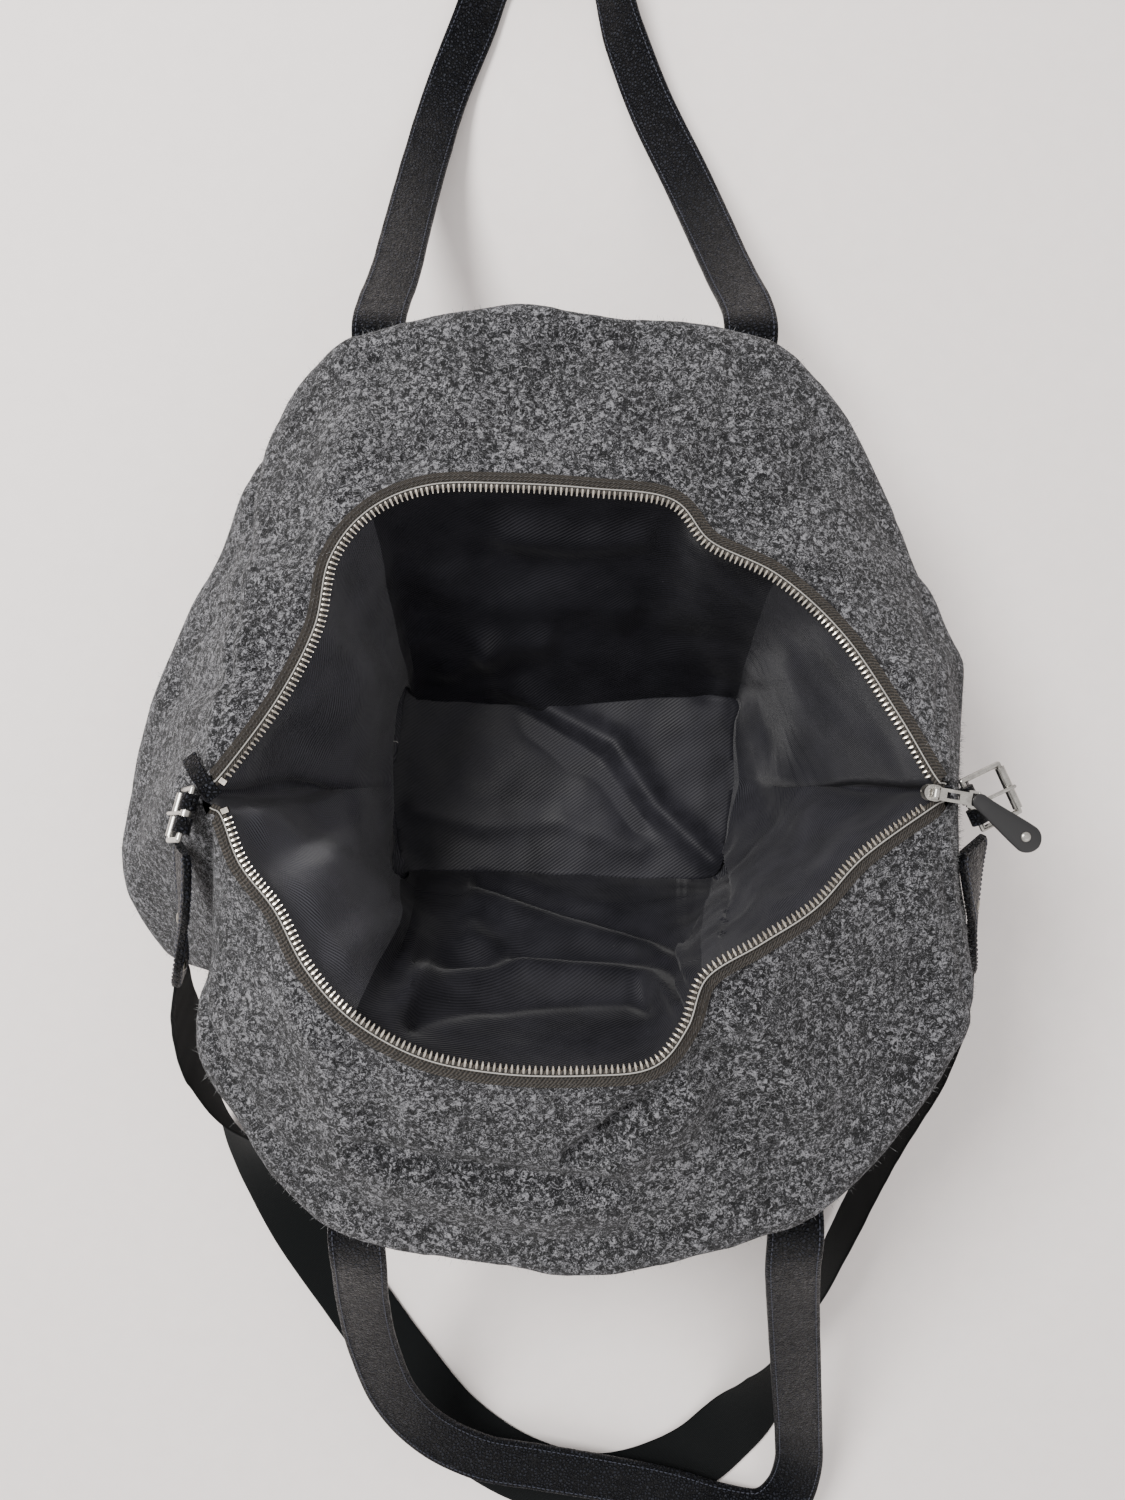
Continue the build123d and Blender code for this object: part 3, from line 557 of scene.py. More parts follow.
def add_stage():
    half = 4000.0
    corners = [(-half, -half, 0), (half, -half, 0), (half, half, 0), (-half, half, 0)]
    floor = new_object("floor", corners, [[0, 1, 2, 3]],
                       plain_material("pale_floor", (0.98, 0.915, 0.89), 0.7))
    floor.location = (0, 0, -FLOOR_GAP)
    world = bpy.data.worlds.new("soft_room")
    world.use_nodes = True
    background = world.node_tree.nodes["Background"]
    background.inputs["Color"].default_value = (1.0, 0.975, 0.965, 1)
    background.inputs["Strength"].default_value = 0.97
    bpy.context.scene.world = world
    add_light("window", (-1.3, 0.9, 2.3), (0, 0, 0), 1.1, 98, (1.0, 0.985, 0.965))
    add_light("room", (1.6, -1.4, 2.6), (0, 0, 0), 2.4, 14, (1.0, 0.97, 0.94))


# ------------------------------------------------------------------ the wool shell
STEPS = 12                     # columns from one station to the next
WALL_LEVELS = 22               # levels of the wool up its wall, round its bend and over its flap
BEND_LEVELS = 14
FLAP_LEVELS = 46
BEND_BELOW = 0.14              # share of the wall that the bend takes up
BEND_ABOVE = 0.20              # share of the flap that the bend takes up
WALL_SAG_MM = 5.0              # how far a wall sags inwards at its middle
WOOL_LUMPS = ((4.2, 74.0, 1), (1.7, 30.0, 2), (0.4, 8.0, 3))       # height, size and seed
SEAM_DIP = (1.5, 0, 1.1)       # depth or height, and place and width in columns
SEAM_RIDGE = (0.8, 4, 2.0)
FIBRE_COUNT = 26000
FIBRE_LENGTHS_MM = (1.0, 3.4)
LONG_FIBRE_MM = 3.0            # added to the few longest fibres
LONG_FIBRE_SHARE = 0.02
FIBRE_HALF_WIDTH_MM = 0.07


def chain_line(panel):
    return np.array([row[2] for row in panel], float)


def away(line):
    """Horizontal unit vectors from a row of teeth away from the mouth."""
    along = np.gradient(line, axis=0) * (1, 1, 0)
    return unit(np.stack([along[:, 1], -along[:, 0], 0 * along[:, 0]], axis=1))


def shell_stations():
    """Base, fold and mouth-edge points of every station, and where each side begins."""
    rows = []
    starts = {}
    for side, panel in (("back", BACK_PANEL), ("left", LEFT_GUSSET), ("front", FRONT_PANEL),
                        ("right", RIGHT_GUSSET)):
        starts[side] = len(rows)
        edges = chain_line(panel)
        if side in ("back", "front"):
            edges = edges + away(edges) * (TAPE_MM + 0.4) - (0, 0, 0.6)
        for (base, fold, _), edge in zip(panel, edges):
            rows.append(((*base, 0), fold, edge))
    return np.array(rows, float), starts


def section(points):
    """Shell points from the base, round the fold and in to the mouth, for all columns."""
    base, fold, edge = points[:, 0], points[:, 1], points[:, 2]
    near = fold + BEND_BELOW * (base - fold)
    past = fold + BEND_ABOVE * (edge - fold)
    control = 2 * fold - 0.5 * (near + past)
    outward = unit(np.cross(np.gradient(base, axis=0), near - base))
    parts = []
    for share in np.linspace(0, 1, WALL_LEVELS, endpoint=False):
        sag = WALL_SAG_MM * math.sin(math.pi * share)
        parts.append(base + share * (near - base) - sag * outward)
    for t in np.linspace(0, 1, BEND_LEVELS, endpoint=False):
        a = near + t * (control - near)
        b = control + t * (past - control)
        parts.append(a + t * (b - a))
    for share in np.linspace(0, 1, FLAP_LEVELS):
        parts.append(past + share * (edge - past))
    return np.stack(parts, axis=1)


# Soft folds of the wool seen from above: line, height (negative for a valley) and half-width.
WOOL_FOLDS = [
    ([(-110, -196), (-57, -206), (-10, -214), (28, -216)], -7.0, 6.0),
    ([(-95, -216), (-57, -226), (-20, -236), (28, -234)], 5.0, 12.0),
    ([(6, -200), (24, -184), (46, -164), (62, -148)], -9.5, 5.0),
    ([(30, -206), (54, -188), (84, -160)], 6.0, 12.0),
    ([(66, -132), (84, -150), (96, -190)], -6.0, 9.0),
    ([(92, -112), (116, -134), (140, -172)], 7.0, 14.0),
    ([(126, -88), (152, -108), (180, -140)], -5.0, 10.0),
    ([(-140, -106), (-126, -150), (-118, -205)], 5.0, 16.0),
    ([(-104, -140), (-96, -180)], -4.0, 10.0),
    ([(-88, 190), (-100, 220), (-112, 262)], -5.0, 11.0),
    ([(-50, 188), (-56, 226), (-64, 270)], 4.0, 14.0),
    ([(60, 180), (80, 215), (96, 262)], 5.0, 13.0),
    ([(110, 145), (140, 175), (165, 205)], -5.0, 11.0),
    ([(-10, 190), (-4, 225), (6, 275)], -4.0, 12.0),
    ([(-150, 120), (-180, 130), (-215, 120)], 4.0, 13.0),
    ([(-160, 60), (-190, 66), (-240, 60)], -3.5, 10.0),
    ([(-205, 10), (-232, -10), (-262, -40)], 5.0, 12.0),
    ([(190, 60), (215, 70), (238, 75)], 4.0, 12.0),
    ([(200, -60), (216, -92), (226, -130)], 4.0, 12.0),
]


def fold_heights(points, folds):
    total = np.zeros(points.shape[:-1])
    for line, height, width in folds:
        distance = line_distance(points[..., :2], line)
        total += height * np.exp(-(distance / width) ** 2)
    return total


def wool_shell():
    stations, starts = shell_stations()
    outer = section(smooth(stations, STEPS, closed=True))
    levels = outer.shape[1]
    normals = grid_normals(outer, wrap=True)
    height = np.linspace(0, 1, levels)[None, :]
    calm = np.clip(np.minimum(height * 8, (1 - height) * 9), 0, 1)
    waves = sum(tall * lumps(outer, size, seed) for tall, size, seed in WOOL_LUMPS)
    facing_up = normals[..., 2] < 0.1
    waves = waves + fold_heights(outer, WOOL_FOLDS) * facing_up
    left = (starts["left"] - 1) * STEPS
    front = starts["front"] * STEPS
    right = (starts["right"] - 1) * STEPS
    columns = np.arange(len(outer))
    for seam in (left, front, right, 0):
        gap = np.abs(columns - seam)
        gap = np.minimum(gap, len(outer) - gap)
        for sign, (tall, centre, width) in ((-1, SEAM_DIP), (1, SEAM_RIDGE)):
            waves = waves + sign * tall * np.exp(-((gap - centre) / width) ** 2)[:, None]
    outer = outer - normals * (waves * calm)[..., None]
    outer[..., 2] = np.maximum(outer[..., 2], 0.2)
    inner = outer + grid_normals(outer, wrap=True) * WOOL_MM
    inner[..., 2] = np.maximum(inner[..., 2], 0.4)
    ranges = {
        "back_panel": (0, left),
        "left_gusset": (left, front),
        "front_panel": (front, right),
        "right_gusset": (right, len(outer)),
    }
    for node, (first, last) in ranges.items():
        picked = np.arange(first, last + 1) % len(outer)
        piece = sheet_object("wool_" + node, outer[picked], inner[picked], WOOL)
        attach(piece, "bag")
        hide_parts(node)
    add_fibres(outer)


def add_fibres(outer):
    """Loose wool fibres standing off the cloth, so that its outline is fuzzy."""
    count = FIBRE_COUNT
    normals = -grid_normals(outer, wrap=True)
    i = RANDOM.integers(0, outer.shape[0], count)
    j = RANDOM.integers(4, outer.shape[1] - 1, count)
    root = outer[i, j] + RANDOM.normal(0, 1.6, (count, 3))
    normal = normals[i, j]
    root = root - normal * np.sum((root - outer[i, j]) * normal, axis=1, keepdims=True)
    lean = unit(RANDOM.normal(0, 1, (count, 3)))
    length = RANDOM.uniform(*FIBRE_LENGTHS_MM, (count, 1))
    length = length + LONG_FIBRE_MM * (RANDOM.random((count, 1)) > 1 - LONG_FIBRE_SHARE)
    direction = unit(normal * RANDOM.uniform(0.3, 1.0, (count, 1)) + lean * 0.9)
    side = unit(np.cross(direction, lean)) * FIBRE_HALF_WIDTH_MM
    middle = root + direction * length * 0.55 + lean * length * 0.10
    tip = root + direction * length + lean * length * 0.35
    vertices = np.stack([root - side, root + side, middle + side, middle - side, tip], axis=1)
    vertices[..., 2] = np.maximum(vertices[..., 2], 0.5)
    faces = []
    for k in range(0, 5 * count, 5):
        faces.append([k, k + 1, k + 2, k + 3])
        faces.append([k + 3, k + 2, k + 4])
    piece = new_object("wool_fibres", vertices.reshape(-1, 3), faces, FIBRE)
    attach(piece, "bag")


# ------------------------------------------------------------------ the lining
LINING_FOLDS = [
    ([(-82, 84), (-48, 100), (-12, 99)], 6.0, 9.0),
    ([(-51, 97), (-38, 71), (0, 49), (41, 29), (72, -18), (113, -58)], 9.0, 10.0),
    ([(-40, 78), (-20, 42), (30, 8), (58, -32)], -4.0, 11.0),
    ([(-60, -74), (0, -88), (52, -99), (107, -105)], -8.0, 4.5),
    ([(-60, -84), (0, -98), (60, -108)], 7.0, 7.0),
    ([(-88, -110), (0, -110), (80, -112)], -7.0, 4.5),
    ([(-88, -119), (0, -118), (64, -119)], 6.0, 5.0),
    ([(-80, -128), (0, -126), (50, -126)], -6.0, 3.5),
    ([(-60, -100), (-20, -118), (40, -124)], 4.0, 5.0),
    ([(-126, 78), (-140, 17), (-140, -50), (-120, -92)], 9.0, 14.0),
    ([(-158, 30), (-168, -2), (-152, -30)], -6.0, 13.0),
    ([(-170, -16), (-150, -44), (-120, -86), (-86, -112)], 8.0, 10.0),
    ([(150, 72), (162, 40), (158, 6)], 6.0, 12.0),
    ([(138, 62), (146, 30), (140, 0), (146, -34)], -4.0, 11.0),
    ([(172, -6), (150, -40), (126, -66)], 5.0, 11.0),
    ([(-34, 158), (10, 153), (52, 156)], 5.0, 7.0),
    ([(60, 110), (90, 96), (112, 70)], -5.0, 10.0),
    ([(-90, 140), (-60, 120), (-20, 124), (40, 118)], 4.0, 12.0),
    ([(-110, -20), (-60, -34), (0, -30), (60, -50)], 2.0, 9.0),
]


LINING_WALL_LEVELS = 64
LINING_FLOOR_LEVELS = 46
LINING_LUMPS = ((2.4, 44.0, 5), (0.7, 18.0, 6))      # height, size and seed
# Points of the lining at the two ends of the mouth, and where the floor begins below them.
LEFT_END = ((-199, -2, 230), (-118, -2))
RIGHT_END = ((219, 0, 236), (130, -3))
FLOOR_CENTRE_MM = (4, -5, FLOOR_LEVEL_MM)
LINING_TUCK_MM = (1.4, 2.6)    # top edge of the lining outside and below the teeth
# Corners of the lining, counted in stations from the right end round by the back.
BACK_RIGHT, BACK_LEFT, FRONT_LEFT, FRONT_RIGHT = 3, 9, 19, 25


def lining_columns():
    """Ring and floor points of the lining, from the right end round by the back."""
    ring = np.concatenate([chain_line(BACK_PANEL), [LEFT_END[0]], chain_line(FRONT_PANEL),
                           [RIGHT_END[0]]])
    floor = np.array(BACK_FLOOR + [LEFT_END[1]] + FRONT_FLOOR + [RIGHT_END[1]], float)
    floor = np.concatenate([floor, np.full((len(floor), 1), FLOOR_LEVEL_MM)], axis=1)
    both = smooth(np.stack([ring, floor], axis=1), STEPS, closed=True)
    return both[:, 0], both[:, 1]


def left_wall(t):
    """How far the left wall has gone in and down: it falls steeply, then turns to the floor."""
    inward = min(1.0, (t / 0.80) ** 1.1) - 0.16 * max(0.0, t - 0.84) / 0.16
    down = 0.74 * min(1.0, t / 0.82) + 0.26 * max(0.0, t - 0.82) / 0.18
    return inward, down


def lining_grid():
    """Columns of lining points from the teeth down the wall and in to the middle of the floor."""
    ring, floor = lining_columns()
    outward = away(np.concatenate([ring[-1:], ring, ring[:1]]))[1:-1]
    start = ring + outward * LINING_TUCK_MM[0] - (0, 0, LINING_TUCK_MM[1])
    is_left = np.clip((-floor[:, 0] - 108) / 8, 0, 1)[:, None]
    rows = []
    for t in np.linspace(0, 1, LINING_WALL_LEVELS):
        plain_in, plain_down = t ** 1.25, t
        left_in, left_down = left_wall(t)
        inward = plain_in + is_left * (left_in - plain_in)
        down = plain_down + is_left * (left_down - plain_down)
        point = start.copy()
        point[:, :2] += inward * (floor[:, :2] - start[:, :2])
        point[:, 2:] += down * (floor[:, 2:] - start[:, 2:])
        rows.append(point)
    centre = np.array(FLOOR_CENTRE_MM)
    last = rows[-1]
    for t in np.linspace(0, 1, LINING_FLOOR_LEVELS)[1:]:
        rows.append(last + t * (centre - last))
    return np.stack(rows, axis=1)


def make_lining():
    grid = lining_grid()
    normals = grid_normals(grid, wrap=True)
    normals[:, -1] = (0, 0, 1)
    normals = normals * np.where(normals[..., 2:] < 0, -1, 1)
    share = np.linspace(0, 1, grid.shape[1])[None, :]
    calm = np.clip(share * 16, 0, 1)
    rise = fold_heights(grid, LINING_FOLDS)
    for tall, size, seed in LINING_LUMPS:
        rise = rise + tall * lumps(grid, size, seed)
    rise = rise * calm
    grid = grid + normals * rise[..., None]
    grid[..., 2] = np.maximum(grid[..., 2], FLOOR_LEVEL_MM - 2.0)
    under = grid - normals * LINING_MM
    count = len(grid)
    sides = {
        "back_lining": (BACK_RIGHT, BACK_LEFT),
        "left_lining": (BACK_LEFT, FRONT_LEFT),
        "front_lining": (FRONT_LEFT, FRONT_RIGHT),
        "right_lining": (FRONT_RIGHT, BACK_RIGHT + count // STEPS),
    }
    for node, (first, last) in sides.items():
        picked = np.arange(first * STEPS, last * STEPS + 1) % count
        # The left wall takes the painted-light copy; the right wall, back and front take
        # painted-shade copies.
        cloth = {"left_lining": LINING_PAINTED_LIGHT, "right_lining": LINING_RIGHT_PAINTED_SHADE}.get(node, LINING_PAINTED_SHADE)
        piece = sheet_object(node + "_twill", grid[picked][:, :LINING_WALL_LEVELS],
                             under[picked][:, :LINING_WALL_LEVELS], cloth)
        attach(piece, "bag")
        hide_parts(node)
    foot = LINING_WALL_LEVELS - 1
    add_lining_stitches(grid, normals, foot, FRONT_LEFT * STEPS, FRONT_RIGHT * STEPS)
    picked = np.arange(count + 1) % count
    floor = sheet_object("base_lining_twill", grid[picked][:, foot:], under[picked][:, foot:],
                         LINING_FLOOR_PAINTED_SHADE)
    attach(floor, "bag")
    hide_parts("base_lining")


def add_lining_stitches(grid, normals, row, first, last):
    """Two lines of topstitching along a seam of the lining, and a loose thread by the floor."""
    seam = grid[first:last, row] + (0, -2.0, 0.5)
    parts = stitches_along(seam, normals[first:last, row], 3.0, 0.30)
    parts += stitches_along(seam + (0, -2.6, 0.4), normals[first:last, row], 3.0, 0.26)
    thread = merged("lining_topstitching", parts, SEAM_THREAD)
    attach(thread, "bag")
    wall = grid[:, 20:60].reshape(-1, 3)
    place = wall[np.argmin(np.linalg.norm(wall[:, :2] - LOOSE_THREAD, axis=1))] + (0.4, 0, 1.2)
    turns = np.linspace(0, 1.4 * math.pi, 14)
    loop = place + np.stack([2.4 * np.cos(turns), 1.1 * np.sin(turns), 0.3 * turns], axis=1)
    vertices, faces = tube(loop, 0.30)
    piece = new_object("loose_thread", vertices, faces, CORD)
    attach(piece, "bag")


# ------------------------------------------------------------------ stitching
def stitch(place, along, up, length, radius):
    """One stitch: a short thread that dips into the material at both ends."""
    side = unit(np.cross(up, along))
    vertices = []
    for share, thick in ((-0.5, 0.35), (-0.25, 1.0), (0.25, 1.0), (0.5, 0.35)):
        lift = radius * (0.55 if abs(share) < 0.4 else -0.3)
        middle = place + along * share * length + up * lift
        for angle in np.linspace(0, 2 * math.pi, 6, endpoint=False):
            offset = side * math.cos(angle) + up * math.sin(angle)
            vertices.append(middle + offset * radius * thick)
    faces = grid_faces(4, 6, wrap=True)
    faces.append([5, 4, 3, 2, 1, 0])
    faces.append([18, 19, 20, 21, 22, 23])
    return np.array(vertices), faces


def stitches_along(points, ups, pitch=STITCH_PITCH_MM, radius=0.34, fill=0.72):
    """Stitches along a line of points; ups gives the surface direction at each point."""
    length = run_length(points)
    count = int(length[-1] / pitch)
    parts = []
    for k in range(1, count):
        at = k * pitch
        place = values_at(at, length, points)
        ahead = values_at(at + 0.5, length, points)
        up = unit(values_at(at, length, ups))
        parts.append(stitch(place, unit(ahead - place), up, pitch * fill, radius))
    return parts


# ------------------------------------------------------------------ the zip
def tooth(place, along, inward, up):
    """One cast tooth: a rounded jaw that grips the tape and a nib that meets the other row."""
    profile = [(-2.1, 0.9), (-1.5, 1.25), (0.2, 1.25), (0.9, 0.95), (1.9, 0.8), (2.3, 0.45)]
    vertices = []
    for reach, half in profile:
        tall = 1.5 if reach < 0.5 else 1.05
        for side, high in ((-1, -1), (1, -1), (1.0, 0.55), (0.55, 1), (-0.55, 1), (-1, 0.55)):
            vertices.append(place + inward * reach + along * side * half * 0.78 + up * high * tall)
    faces = grid_faces(len(profile), 6, wrap=True)
    faces.append([5, 4, 3, 2, 1, 0])
    faces.append([30, 31, 32, 33, 34, 35])
    return np.array(vertices), faces


def tube(points, radius, sides=8):
    along = unit(np.gradient(points, axis=0))
    side = unit(np.cross(along, (0, 0, 1)))
    up = np.cross(side, along)
    rings = []
    for angle in np.linspace(0, 2 * math.pi, sides, endpoint=False):
        rings.append(points + radius * (math.cos(angle) * side + math.sin(angle) * up))
    vertices = np.stack(rings, axis=1).reshape(-1, 3)
    faces = grid_faces(len(points), sides, wrap=True)
    faces.append(list(range(sides))[::-1])
    faces.append(list(range(len(vertices) - sides, len(vertices))))
    return vertices, faces


# Where each tape is tucked in at its two ends, first and last.
TAPE_CORNERS = {
    "back": ((213, 1.5, 235), (-193.5, 3.0, 231.5)),
    "front": ((-192.5, -6.5, 232), (212, -2.5, 235)),
}


def make_zip():
    up = np.array([0, 0, 1.0])
    for side, panel in (("back", BACK_PANEL), ("front", FRONT_PANEL)):
        line = resample(smooth(chain_line(panel), STEPS), TOOTH_PITCH_MM)
        outward = away(line)
        along = unit(np.gradient(line, axis=0))
        teeth = [tooth(line[i], along[i], -outward[i], up) for i in range(1, len(line) - 1)]
        piece = merged(side + "_zip_row", teeth, TEETH)
        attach(piece, "bag")
        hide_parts(side + "_zip_teeth")

        corners = TAPE_CORNERS[side]
        whole = np.concatenate([[corners[0]], chain_line(panel), [corners[1]]])
        fine = resample(smooth(whole, STEPS), 1.0)
        reach = away(fine)
        shares = np.linspace(0.2, TAPE_MM + 1.6, 12)
        crown = 0.7 + 0.9 * np.sin(np.clip(shares / 4.0, 0, 1) * math.pi) - 0.10 * shares
        top = fine[:, None] + reach[:, None] * shares[None, :, None] + crown[None, :, None] * up
        tape = sheet_object(side + "_zip_tape_ribbed", top, top - (0, 0, 0.9), TAPE)
        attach(tape, "bag")
        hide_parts(side + "_zip_tape")
        vertices, faces = tube(fine + reach * CORD_REACH_MM + up * 1.75, CORD_RADIUS_MM)
        cord = new_object(side + "_zip_cord", vertices, faces, CORD)
        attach(cord, "bag")
        rows = []
        for offset in TAPE_STITCH_REACHES_MM:
            row = fine + reach * offset + up * 1.0
            rows += stitches_along(row, np.tile(up, (len(row), 1)), 3.0, 0.26)
        thread = merged(side + "_tape_stitches", rows, DARK_THREAD)
        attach(thread, "bag")


# ------------------------------------------------------------------ straps
def strap_frames(stations, spacing=3.0):
    """Evenly spaced points with their forward, wide and face directions."""
    points = smooth([point for point, _ in stations], STEPS)
    rolls = smooth([[roll] for _, roll in stations], STEPS)[:, 0]
    length = run_length(points)
    at = np.linspace(0, length[-1], max(3, int(length[-1] / spacing)))
    even = values_at(at, length, points)
    roll = np.radians(np.interp(at, length, rolls))[:, None]
    along = unit(np.gradient(even, axis=0))
    level = unit(np.cross(along, (0, 0, 1)))
    rise = np.cross(level, along)
    wide = level * np.cos(roll) + rise * np.sin(roll)
    return even, along, wide, np.cross(wide, along), at


def band(name, frames, widths, thickness, material, crown=0.35, wobble=0.0):
    """A flat strap with rounded edges and a slight crown, swept along its frames."""
    even, _, wide, face, at = frames
    half = thickness / 2
    rim = [(-1, -0.4), (-1, 0.4), (-0.975, 0.85), (-0.93, 1.0), (-0.5, 1.0 + crown * 0.6),
           (0, 1.0 + crown), (0.5, 1.0 + crown * 0.6), (0.93, 1.0), (0.975, 0.85), (1, 0.4),
           (1, -0.4), (0.975, -0.85), (0.93, -1), (0.4, -1), (-0.4, -1), (-0.93, -1),
           (-0.975, -0.85)]
    rings = []
    ripple = wobble * np.array([noise.noise(Vector((a / 19.0, 3.1, 0))) for a in at])
    for across, high in rim:
        lift = high * half + ripple
        offset = wide * (across * widths / 2)[:, None] + face * np.reshape(lift, (-1, 1))
        rings.append(even + offset)
    grid = np.stack(rings, axis=1)
    sides = len(rim)
    faces = grid_faces(len(even), sides, wrap=True, flip=True)
    faces.append(list(range(sides)))
    faces.append(list(range(grid.shape[0] * sides - sides, grid.shape[0] * sides))[::-1])
    across = np.array([a for a, _ in rim])
    uvs = np.stack([np.repeat(at, sides), np.outer(widths / 2, across).ravel()], axis=1) * MM
    return new_object(name, grid.reshape(-1, 3), faces, material, uvs, 55)


def edge_stitches(frames, widths, thickness, inset, both_faces=True, pitch=STITCH_PITCH_MM):
    even, _, wide, face, _ = frames
    parts = []
    for side in (-1, 1):
        line = even + wide * (side * (widths / 2 - inset))[:, None]
        parts += stitches_along(line + face * (thickness / 2 + 0.12), face, pitch)
        if both_faces:
            parts += stitches_along(line - face * (thickness / 2 + 0.02), -face, pitch)
    return parts


def dome(place, face, along, radius, height, dimple=0.0):
    """A domed rivet head standing on a surface, with its middle lowered by a share, dimple."""
    side = np.cross(face, along)
    vertices = []
    rings = [(1.0, -0.6), (1.0, 0.1), (0.93, 0.45), (0.70, 0.85), (0.38, 1.0)]
    for reach, high in rings:
        for angle in np.linspace(0, 2 * math.pi, 20, endpoint=False):
            spread = along * math.cos(angle) + side * math.sin(angle)
            vertices.append(place + spread * reach * radius + face * high * height)
    vertices.append(place + face * height * (0.97 - dimple))
    faces = grid_faces(len(rings), 20, wrap=True)
    faces += [[80 + k, 80 + (k + 1) % 20, 100] for k in range(20)]
    faces.append(list(range(20))[::-1])
    return np.array(vertices), faces


def make_handle(name, legs, loop, root):
    """One leather handle, from the foot of one root, round the loop, to the other foot."""
    first_x = loop[0][0][0]
    last_x = loop[-1][0][0]
    stations = [((first_x, y, z), 0) for y, z in root] + loop
    stations += [((last_x, y, z), 0) for y, z in reversed(root)]
    frames = strap_frames(stations, 2.5)
    at = frames[4]
    ends = np.minimum(at, at[-1] - at)
    widths = HANDLE_WIDTH_MM * np.clip(0.35 + 0.65 * np.sqrt(np.clip(ends / 13.0, 0, 1)), 0, 1)
    piece = band(name + "_leather", frames, widths, HANDLE_THICK_MM - 0.6, LEATHER, wobble=0.7)
    edges = edge_stitches(frames, widths, HANDLE_THICK_MM - 0.3, 3.0)
    thread = merged(name + "_stitching", edges, NAVY_THREAD)
    for item, kind in ((piece, "black_leather"), (thread, "black_leather")):
        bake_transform(item)
    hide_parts(name, *[leg + "_handle_root" for leg in legs])
    even, along, _, face, _ = frames
    for leg, sign in zip(legs, (1, -1)):
        rivets = []
        for reach in ROOT_RIVET_REACHES_MM:
            k = int(np.argmin(np.abs(at - (reach if sign > 0 else at[-1] - reach))))
            for flip in (1, -1):
                rivets.append(dome(even[k] + flip * face[k] * 1.9, flip * face[k],
                                   along[k] * flip, 3.2, 1.3))
        head = merged(leg + "_rivet_heads", rivets, RIVET)
        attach(head, "bag")
        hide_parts(leg + "_root_rivets")


def make_handles():
    make_handle("front_handle", ("front_left", "front_right"), FRONT_HANDLE, FRONT_ROOT)
    make_handle("back_handle", ("back_right", "back_left"), BACK_HANDLE, BACK_ROOT)


def make_strap():
    """The shoulder webbing, the patch at the mouth's left corner and the strap's leather ends."""
    frames = strap_frames(SHOULDER_STRAP, 3.0)
    at = frames[4]
    ends = np.minimum(at, at[-1] - at)
    widths = WEBBING_WIDTH_MM * np.clip(0.42 + 0.58 * ends / 120.0, 0, 1)
    webbing = band("webbing_strap", frames, widths, WEBBING_THICK_MM, WEBBING, 0.05, wobble=0.5)
    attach(webbing, "shoulder_strap")
    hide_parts("shoulder_webbing")
    frames = strap_frames(LEFT_CORNER_PATCH, 1.5)
    patch = band("left_corner_patch", frames, np.full(len(frames[4]), PATCH_WIDTH_MM),
                 PATCH_THICK_MM, LEATHER)
    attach(patch, "bag")
    for side, stations in (("left", LEFT_STRAP_END), ("right", RIGHT_STRAP_END)):
        frames = strap_frames(stations, 2.0)
        even, along, _, face, at = frames
        share = at / at[-1]
        waist = 26.0 - 9.0 * np.exp(-((share - 0.56) / 0.15) ** 2)
        widths = waist * np.sqrt(np.clip(1.02 - np.clip((share - 0.84) / 0.17, 0, 1) ** 2, 0.05, 1))
        widths = widths * np.clip(0.8 + share * 4, 0, 1)
        leather = band(side + "_strap_leather", frames, widths, 4.4, LEATHER)
        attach(leather, "shoulder_strap")
        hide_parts(side + "_strap_end")
        thread = merged(side + "_strap_stitching", edge_stitches(frames, widths, 4.8, 2.4),
                        NAVY_THREAD)
        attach(thread, "shoulder_strap")
        heads = []
        for place in STRAP_RIVET_SHARES:
            k = int(np.argmin(np.abs(share - place)))
            for flip in (1, -1):
                heads.append(dome(even[k] + flip * face[k] * 2.5, flip * face[k],
                                  flip * along[k], 3.3, 1.2, 0.25))
        rivets = merged(side + "_strap_rivet_heads", heads, RIVET)
        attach(rivets, "shoulder_strap")
        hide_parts(side + "_strap_rivets")


# ------------------------------------------------------------------ the leather zip pull
PULL_PIVOT = (228.35, -4.53, 246.6)
PULL_HEADING = math.radians(-38)
PULL_START_MM = -3.4
PULL_END_MM = 41.0
PULL_THICK_MM = 2.6
PULL_RIVET_MM = 32.0           # from the puller's end bar to the rivet
PULL_SECTIONS = 60


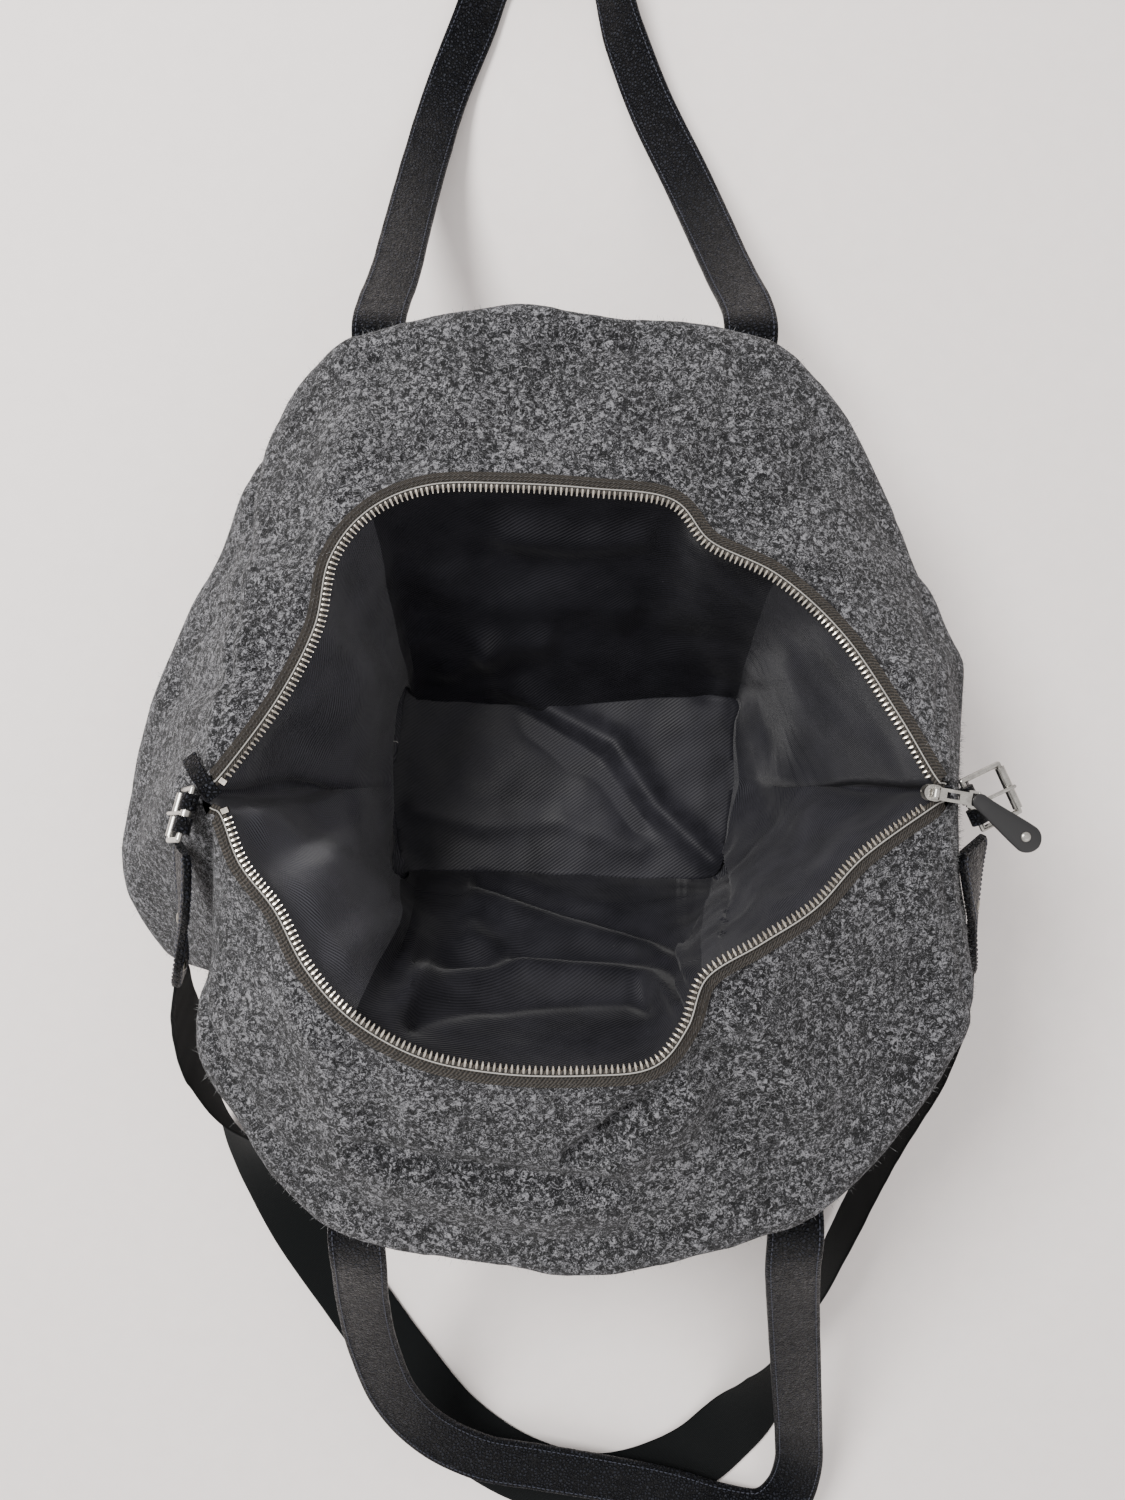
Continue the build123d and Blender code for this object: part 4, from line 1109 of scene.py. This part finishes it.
def make_pull():
    """A teardrop of leather, thicker where it is doubled at the puller's bar, with one rivet."""
    heading = np.array([math.cos(PULL_HEADING), math.sin(PULL_HEADING), 0])
    side = np.array([-heading[1], heading[0], 0])
    up = np.array([0, 0, 1.0])
    even, widths = [], []
    reach = PULL_END_MM - PULL_START_MM
    for t in np.sin(np.linspace(-0.5, 0.5, PULL_SECTIONS) * math.pi) * 0.5 + 0.5:
        swell = 8.6 + 7.8 * t * t * (3 - 2 * t)
        near, far = t * reach, (1 - t) * reach
        round_near = math.sqrt(max(0.0, 1 - max(0.0, 1 - near / 4.3) ** 2))
        round_far = math.sqrt(max(0.0, 1 - max(0.0, 1 - far / 8.0) ** 2))
        even.append(np.array(PULL_PIVOT) + heading * (PULL_START_MM + near))
        widths.append(max(0.4, swell * round_near * round_far))
    even, widths = np.array(even), np.array(widths)
    frames = (even, None, np.tile(side, (PULL_SECTIONS, 1)), np.tile(up, (PULL_SECTIONS, 1)),
              run_length(even))
    thick = np.interp(frames[4], (0, 4, 9), (4.4, 4.2, PULL_THICK_MM))
    top = band("leather_pull_tear", frames, widths, thick, LEATHER_EDGE, crown=0.3)
    rivet_place = np.array(PULL_PIVOT) + heading * PULL_RIVET_MM
    heads = [dome(rivet_place + flip * up * 1.5, flip * up, heading * flip, 2.9, 1.3)
             for flip in (1, -1)]
    rivet = merged("leather_pull_rivet", heads, BUCKLE)
    for piece, slot, node in ((top, "black_leather", "leather_pull"),
                              (rivet, "rivet_metal", "pull_rivet")):
        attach(piece, "leather_pull")
        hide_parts(node)


# ------------------------------------------------------------------ CAD pieces that stay
KEPT_NODES = {
    "zip_slider": BUCKLE, "zip_puller": BUCKLE, "back_top_stop": TEETH, "front_top_stop": TEETH,
    "base_panel": WOOL, "base_board": BOARD,
}
for end in ("left", "right"):
    KEPT_NODES[end + "_end_tab"] = LEATHER
    for metal in ("frame", "roller", "prong"):
        KEPT_NODES[end + "_buckle_" + metal] = BUCKLE


def repaint_kept_nodes():
    for node, material in KEPT_NODES.items():
        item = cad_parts[node]
        for slot in item.material_slots:
            slot.material = material


add_camera()
add_stage()
wool_shell()
make_lining()
make_zip()
make_handles()
make_strap()
make_pull()
repaint_kept_nodes()
